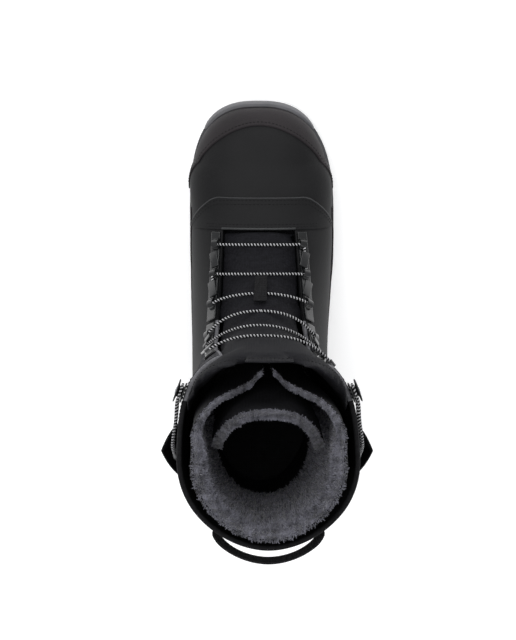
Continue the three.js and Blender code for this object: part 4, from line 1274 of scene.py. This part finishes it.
def liningGround(v, u):
    return linerSkin(fromNotch(v), 0.98 * u, np.zeros_like(v))


linerLining = fleecePiece(
    "linerLining", collarSize["round"], collarSize["deep"], liningPlace, liningGround, (160, 40)
)
fit(linerLining, "ankle")

# the liner's own tongue leans back inside it
innerTongue = {"start": 5.2, "top": 8.75, "half": 0.33, "round": 0.45, "thick": 5 * mm, "clear": 1.5 * mm}


def innerTongueLean(s, a):
    slope = mix(3.2, 7.5, (a / innerTongue["half"]) ** 2)
    return (2 + slope * np.maximum(s - innerTongue["start"], 0)) * mm


def innerTongueOut(s, a):
    return linerOut(s, 0 * np.asarray(a)) - liner["wall"] - innerTongue["clear"]


def innerTongueTop(a):
    return innerTongue["top"] - innerTongue["round"] * (a / innerTongue["half"]) ** 2


linerTongue = padPiece(
    "linerTongue", lambda s: -innerTongue["half"] + 0 * s, lambda s: innerTongue["half"] + 0 * s,
    lambda a, v: innerTongue["start"] + 0 * v, lambda a, v: innerTongueTop(innerTongue["half"] * (2 * v - 1)),
    innerTongueOut, lambda s, a: innerTongueOut(s, a) - innerTongue["thick"], "linerNylon", (50, 90),
    shift=innerTongueLean,
)
padOut(linerTongue, 1.0 * mm)
fit(linerTongue, "liner_tongue", "liner_tongue")

tongueFleece = {"round": 112 * mm, "deep": 96 * mm, "start": 6.3, "up": 1.75, "roll": 3.2 * mm}


def innerTongueSkin(around, up, height):
    # up 0 low on the back face, 1 at its top, 1 to 2 over the top edge to the front
    top = innerTongueTop(around)
    s = mix(tongueFleece["start"], top, np.clip(up, 0, 1))
    backFace = onForm(s, around, innerTongueOut(s, around) - 5.5 * mm - height)
    middle = innerTongueOut(top, around) - 3 * mm
    centre = onForm(top, around, middle)
    _, rise, out = directions(top, around, middle)
    angle = np.pi * np.clip(up - 1, 0, 1)
    radius = (tongueFleece["roll"] + 0.7 * height)[:, None]
    rolled = centre + radius * (-np.cos(angle)[:, None] * out + np.sin(angle)[:, None] * rise)
    point = np.where((up < 1)[:, None], backFace, rolled)
    point[:, 1] -= innerTongueLean(np.where(up < 1, s, top), around)
    return point


def innerTonguePile(x, y, h):
    around = innerTongue["half"] * (2 * x / tongueFleece["round"] - 1)
    return innerTongueSkin(around, tongueFleece["up"] * y / tongueFleece["deep"], tuftHeight(x, y, h))


linerTongueFleece = fleecePiece(
    "linerTongueFleece", tongueFleece["round"], tongueFleece["deep"], innerTonguePile,
    lambda v, u: innerTongueSkin(innerTongue["half"] * (2 * v - 1), tongueFleece["up"] * u, 0 * v), (60, 50),
)
fit(linerTongueFleece, "liner_tongue")


def soleSheet(name, grow, top, wall, cup, material):
    # a sheet over the platform inside the sole's outline, its edges turned up by cup
    def place(v, u):
        outerX, y = soleEdge(0.5 * u, grow)
        innerX, _ = soleEdge(1 - 0.5 * u, grow)
        return np.column_stack([mix(innerX, outerX, v), y, platform(y) + top + cup * np.abs(2 * v - 1) ** 5])

    bm = mappedGrid(place, 40, 120)
    closeDoubles(bm)
    bm.normal_update()
    faceOut(bm, (0, 0, 0))
    return thicken(finishMesh(name, bm, material), wall, edge=0.8 * mm)


linerSole = soleSheet("linerSole", -9 * mm, 8.0 * mm, 2.8 * mm, 0.0, "linerNylon")
fit(linerSole, "lower", "liner_sole")

footbed = soleSheet("footbedCushion", -13.5 * mm, 12.6 * mm, 4.2 * mm, 2.5 * mm, "footbedCover")
fit(footbed, "lower", "footbed")
print("inner boot ready")

# the lacing
lace = {"thick": 1.9 * mm, "guideTall": 4.6 * mm, "guideAt": 0.02, "tuck": -0.004, "tuckLift": 4.4 * mm}
lowerRows = [(2.36, 2.36), (3.07, 3.05), (3.6, 3.8)]
upperRows = [(4.25, 4.75), (5.3, 5.3), (7.05, 7.15)]
laceLift = 2.68 * mm + 0.35 * mm + lace["guideTall"] / 2


def guideAt(sign, s):
    return throatAt(sign, s) + sign * lace["guideAt"]


def rowPoints(row, turned=False):
    points = []
    for t in np.linspace(0, 1, 13):
        toEnd = abs(2 * t - 1) ** 2
        s = mix(row[0], row[1], toEnd)
        a = mix(guideAt(-1, s), guideAt(1, s), t)
        onTongue = float(tongueOut(s, 0.0)) + lace["thick"] / 2 + 1.12 * mm
        points.append(onForm(s, a, mix(onTongue, laceLift, toEnd**0.7)))
    return points[::-1] if turned else points


def laceRoute(rows):
    # to and fro, tucked under the links between one row and the next
    points = []
    for i, row in enumerate(rows):
        points += rowPoints(row, i % 2 == 1)
        if i + 1 < len(rows):
            s = (row[1] + rows[i + 1][1]) / 2
            sign = 1 if i % 2 == 0 else -1
            points.append(onForm(s, guideAt(sign, s) + sign * lace["tuck"], lace["tuckLift"]))
    return points


def lacePiece(name, points, steps=5):
    return sweep(name, points, lace["thick"], lace["thick"], "braidedLace", steps, 12)


laceLower = lacePiece("laceLower", laceRoute(lowerRows))
fit(laceLower, "lower", "lace_lower")

upperRoute = laceRoute(upperRows)
rowLength = (len(upperRoute) + 1) // 3
middlePoint = (rowLength - 1) // 2
halves = {
    "laceUpperStart": (upperRoute[: middlePoint + 1], "medial"),
    "laceUpperRight": (upperRoute[middlePoint : rowLength + middlePoint + 1], "lateral"),
    "laceUpperLeft": (upperRoute[rowLength + middlePoint : 2 * rowLength + middlePoint + 1], "medial"),
    "laceUpperEnd": (upperRoute[2 * rowLength + middlePoint :], "lateral"),
}
for name, (points, side) in halves.items():
    piece = lacePiece(name, points)
    sign = -1 if side == "medial" else 1
    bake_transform(piece)
    if name == "laceUpperStart":
        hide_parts("lace_upper")

# moulded strips along the throat, and a hexagonal guide at each end of each row
strip = {"start": 0.004, "end": 0.052, "lift": 3.2 * mm, "thick": 2.2 * mm, "edge": 0.8 * mm}
for side, sign in sides.items():
    for name, node, low, high, body in (
        ("guideStrip", "guide_strip_", 2.1, 4.25, "lower"), ("cuffStrip", "cuff_strip_", 4.35, 7.45, "cuff"),
    ):
        inner, outer = [
            lambda s, sign=sign, off=strip[end]: throatAt(sign, s) + sign * off for end in ("start", "end")
        ]
        piece = shellPanel(
            name + side.title(), inner, outer, low, high, strip["lift"], strip["thick"], "mouldedNylon",
            (12, 60), edge=strip["edge"],
        )
        fit(piece, body, node + side)

guide = {
    "long": 11 * mm, "wide": 8.5 * mm, "base": 1.6 * mm, "edge": 0.45 * mm,
    "arch": 1.1 * mm, "archRadius": 2.9 * mm, "archWide": 5.2 * mm,
    "link": 6.5 * mm, "linkThick": 1.5 * mm, "linkIn": 0.008, "linkLift": 6.6 * mm, "linkSlant": 14,
}


def guidePiece(name, matrix):
    # a hexagonal plate with a bridge over the lace
    bm = bmesh.new()
    size = Matrix.Diagonal((guide["wide"] / guide["long"], 1, 1, 1))
    plate = Matrix.Translation((0, 0, guide["base"] / 2))
    turn = Matrix.Rotation(math.radians(30), 4, "Z")
    bmesh.ops.create_cone(
        bm, cap_ends=True, segments=6, radius1=guide["long"] / 2, radius2=guide["long"] / 2 - 0.5 * mm,
        depth=guide["base"], matrix=matrix @ size @ plate @ turn,
    )
    arch = bmesh.new()
    bmesh.ops.create_grid(arch, x_segments=20, y_segments=6, size=0.5)
    for vert in arch.verts:
        angle = math.pi * (vert.co.x + 0.5)
        span = math.cos(angle) * guide["archRadius"] * 1.15
        rise = math.sin(angle) * guide["archRadius"] + guide["base"] * 0.7
        vert.co = Vector((vert.co.y * guide["archWide"], span, rise))
    bmesh.ops.solidify(arch, geom=list(arch.faces), thickness=guide["arch"])
    bmesh.ops.recalc_face_normals(arch, faces=arch.faces)
    bmesh.ops.transform(arch, matrix=matrix, verts=arch.verts)
    joinShape(bm, arch)
    piece = finishMesh(name, bm, "mouldedNylon")
    roundEdges(piece, guide["edge"], 3, 30)
    return piece


for side, sign in sides.items():
    for zone, rows, body in (("lower", lowerRows, "lower"), ("upper", upperRows, "cuff")):
        for number, (_, ends) in enumerate(rows, 1):
            place = standOn(ends, guideAt(sign, ends), 3.0 * mm)
            piece = guidePiece(f"{zone}Guide{side.title()}{number}", place)
            fit(piece, body, f"{zone}_guide_{side}_{number}")


def linkPiece(name, low, high, sign):
    # a slanting plate that joins two guides over the lace
    s = (low + high) / 2
    across = guideAt(sign, s) - sign * guide["linkIn"]
    bm = bmesh.new()
    length = (Vector(onForm(high, across)) - Vector(onForm(low, across))).length - guide["long"] - 1 * mm
    size = Matrix.Diagonal((guide["link"], max(length, 5 * mm), guide["linkThick"], 1))
    slant = Matrix.Rotation(math.radians(-guide["linkSlant"] * sign), 4, "Z")
    bmesh.ops.create_cube(bm, size=1, matrix=standOn(s, across, guide["linkLift"]) @ slant @ size)
    piece = finishMesh(name, bm, "mouldedNylon")
    roundEdges(piece, guide["edge"] + 0.05 * mm, 3, 30)
    return piece


for side, sign in sides.items():
    for zone, rows, body in (("lower", lowerRows, "lower"), ("upper", upperRows, "cuff")):
        for number in (0, 1):
            low, high = rows[number][1], rows[number + 1][1]
            link = linkPiece(f"{zone}Link{side.title()}{number + 1}", low, high, sign)
            fit(link, body)

keeper = {"half": 0.024, "low": 3.1, "high": 3.86, "lift": 5.9 * mm, "thick": 1.4 * mm}
laceKeeper = shellPanel(
    "laceKeeper", -keeper["half"], keeper["half"], keeper["low"], keeper["high"],
    lambda s, a: tongueOut(s, a) + keeper["lift"], keeper["thick"], "webbing", (12, 24),
)
fit(laceKeeper, "lower", "lace_keeper")

# lace locks, pockets and pull handles
lock = {
    "at": (8.12, 0.335), "mouth": (8.16, 0.52, 5 * mm), "halfway": (8.16, 0.43, 3.2 * mm),
    "neck": 4 * mm, "base": 1.28 * mm, "groove": 2.9 * mm,
    # radius and height in millimetres
    "flange": [
        (0, 0), (7.0, 0), (7.6, 0.5), (7.2, 1.2), (4.3, 1.5), (4.0, 2.0), (4.0, 4.2), (4.4, 4.6), (7.9, 5.0),
        (8.5, 5.4), (8.4, 5.9), (7.8, 6.1), (5.2, 5.8), (4.8, 5.4), (0, 5.4),
    ],
    "head": [(0, 0), (3.0, 0), (3.1, 0.4), (2.6, 0.9), (1.6, 1.2), (0, 1.3)],
    "headAt": 5.5 * mm,
}
pocket = {"low": 7.35, "high": 8.0, "front": 0.46, "back": 0.68, "open": 12.5 * mm, "peak": 0.42}
grip = {
    "station": 7.84, "wide": 10 * mm, "long": 24 * mm, "thick": 5 * mm, "off": 1.98 * mm,
    "round": 1.6 * mm, "strands": 2.4 * mm,
}
gripLift = grip["off"] + grip["thick"] / 2
for side, sign in sides.items():
    lockStation, lockTurn = lock["at"]
    lockPlace = standOn(lockStation, sign * lockTurn)
    mouth, halfway = [Vector(onForm(s, sign * a, lift)) for s, a, lift in (lock["mouth"], lock["halfway"])]
    toMouth = lockPlace.inverted() @ mouth
    lockPlace = lockPlace @ Matrix.Rotation(math.atan2(toMouth.x, -toMouth.y), 4, "Z")
    for name, outline, height, finish, turns, node, slot in (
        ("laceLock", lock["flange"], 0, "mouldedNylon", 48, "lace_lock_", "moulded_guide"),
        ("lockRivet", lock["head"], lock["headAt"], "pressedSteel", 32, "lock_rivet_", "steel"),
    ):
        scaled = [(r * mm, z * mm) for r, z in outline]
        at = lockPlace @ Matrix.Translation((0, 0, lock["base"] + height))
        turned = lathe(name + side.title(), scaled, at, finish, turns)
        fit(turned, "cuff", node + side)

    def bulge(s, a):
        across = np.clip((np.abs(a) - pocket["front"]) / (pocket["back"] - pocket["front"]), 0, 1)
        rise = np.clip((s - pocket["low"]) / (pocket["high"] - pocket["low"]), 0, 1)
        tent = np.minimum(across / pocket["peak"], (1 - across) / (1 - pocket["peak"]))
        return 2.2 * mm + pocket["open"] * tent**0.75 * rise**0.5

    pouch = shellPanel(
        "pocket" + side.title(), sign * pocket["front"], sign * pocket["back"], pocket["low"], pocket["high"],
        bulge, 1.4 * mm, "heatherTextile", (50, 30), inside="tricotLining",
    )
    fit(pouch, "cuff", "pocket_" + side)

    gripPlace = standOn(grip["station"], sign * (pocket["front"] + pocket["back"]) / 2)
    gripShape = bmesh.new()
    flatten = Matrix.Diagonal((1, 1, grip["thick"] / grip["wide"], 1))
    lie = Matrix.Translation((0, 0, gripLift)) @ flatten @ Matrix.Rotation(math.radians(90), 4, "X")
    bmesh.ops.create_cone(
        gripShape, cap_ends=True, segments=32, radius1=grip["wide"] / 2, radius2=grip["wide"] / 2,
        depth=grip["long"], matrix=gripPlace @ lie,
    )
    rims = [edge for edge in gripShape.edges if edge.calc_face_angle(0) > math.radians(60)]
    bmesh.ops.bevel(
        gripShape, geom=rims, offset=grip["round"], segments=4, profile=0.5, affect="EDGES", material=-1
    )
    handle = finishMesh("pullHandle" + side.title(), gripShape, "mouldedNylon")
    fit(handle, "handle_" + side, "pull_handle_" + side)

    def onLock(x, y, lockPlace=lockPlace):
        return lockPlace @ Vector((x, y, lock["base"] + lock["groove"]))

    def onGrip(x, gripPlace=gripPlace):
        return gripPlace @ Vector((x, grip["long"] / 2 + 1.5 * mm, gripLift))

    acrossLock = lockPlace.to_3x3() @ Vector((1, 0, 0))
    neck = lock["neck"] + 1.25 * mm + 0.3 * mm

    def run(x):
        spread = math.copysign(neck, x)
        toLock = [onLock(spread, -6 * mm), onLock(spread, 0)]
        return [onGrip(x), mouth + acrossLock * x, halfway + acrossLock * x * 1.6] + toLock

    slant = neck * math.sqrt(0.5)
    roundLock = [onLock(-slant, slant), onLock(0, neck), onLock(slant, slant)]
    route = run(-grip["strands"]) + roundLock + run(grip["strands"])[::-1]
    strand = lacePiece("pullStrand" + side.title(), route, steps=8)
    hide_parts("pull_strand_" + side)
    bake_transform(strand)

# the pull loop
loop = {"station": 8.66, "span": 0.19, "out": 13 * mm, "wide": 14 * mm, "thick": 2.0 * mm, "lean": 2.0 * mm}


def loopPlace(v, u):
    t = 2 * u - 1
    free = 1 - t * t
    stand = mix(2.6 * 0.8 * mm, loop["out"], free**0.6)
    stand = stand + loop["lean"] * (2 * v - 1) * t**4
    middle = onForm(loop["station"], 1 + t * loop["span"], stand)
    tall = mix(2.5 * mm, loop["wide"] / 2, np.minimum(3 * free, 1))
    middle[:, 2] += tall * (2 * v - 1)
    return middle


loopShape = mappedGrid(loopPlace, 10, 60)
loopShape.normal_update()
faceOut(loopShape, (0, -60 * mm, 250 * mm))
pullLoop = thicken(finishMesh("pullLoop", loopShape, "webbing"), loop["thick"], edge=0.5 * mm)
fit(pullLoop, "pull_loop", "pull_loop")
print("hardware ready")

# stitching
overTop = upper["over"] + 0.1 * mm
wide = np.linspace(-overlay["reach"] + 0.01, overlay["reach"] - 0.01, 25)
footStitches = []
for inset in (0.05, 0.11):
    footStitches.append(([(float(overlayFront(a)) + inset, a) for a in wide], overTop))
for inset in (0.05, 0.1):
    footStitches.append(([(overlay["back"] - inset, a) for a in wide[4:-4]], overTop))
capTurns = np.linspace(-0.98, 0.98, 41) * float(cupFoot(1.2))
footStitches.append(([(float(capBack(a)) - 0.05, a) for a in capTurns], overTop))
footThread = stitchPiece("footThread", footStitches)
fit(footThread, "lower")

for side, sign in sides.items():
    routes = []
    for inset in (0.012, 0.028):
        rim = [(float(cuffTop(a)) - 0.06 - inset * 2, sign * a) for a in np.linspace(0.28, 0.98, 30)]
        routes.append((rim, upper["lift"] + 0.4 * mm))
    seam = [(float(ankleSeam(a)) + 0.04, sign * a) for a in np.linspace(0.3, 0.98, 30)]
    routes.append((seam, upper["lift"] + 0.4 * mm))
    cuffThread = stitchPiece("cuffThread" + side.title(), routes)
    fit(cuffThread, "ankle")

shinRoutes = []
for inset in (0.1, 0.75):
    contour = []
    for share in np.linspace(0.08, 0.92, 30):
        s = tongueTop(share) - inset
        contour.append((s, float(mix(shinEdge(-1)(s), shinEdge(1)(s), share))))
    shinRoutes.append((contour, lambda s, a: tongueOut(s, a) + 0.1 * mm))
tongueThread = stitchPiece("tongueThread", shinRoutes)
fit(tongueThread, "tongue")

# folded and cut edges that stand up from the panels
overlayLine = [(float(overlayFront(a)) + 0.015, a) for a in wide]
throatLine = [(overlay["back"] - 0.02, a) for a in np.linspace(-0.2, 0.165, 15)]
capLine = [(float(capBack(a)), a) for a in capTurns]
for name, route, lift, size, finish in (
    ("overlayEdge", overlayLine, -0.3 * mm, 1.1 * mm, "rubbedEdge"),
    ("throatPiping", throatLine, 0.1 * mm, 1.9 * mm, "rubbedEdge"),
    ("capEdge", capLine, -0.7 * mm, 0.9 * mm, "toeRubber"),
):
    line = [onForm(s, a, upper["over"] + lift) for s, a in route]
    bead = sweep(name, line, size, size, finish, 4, 8)
    fit(bead, "lower")
print("stitching ready")
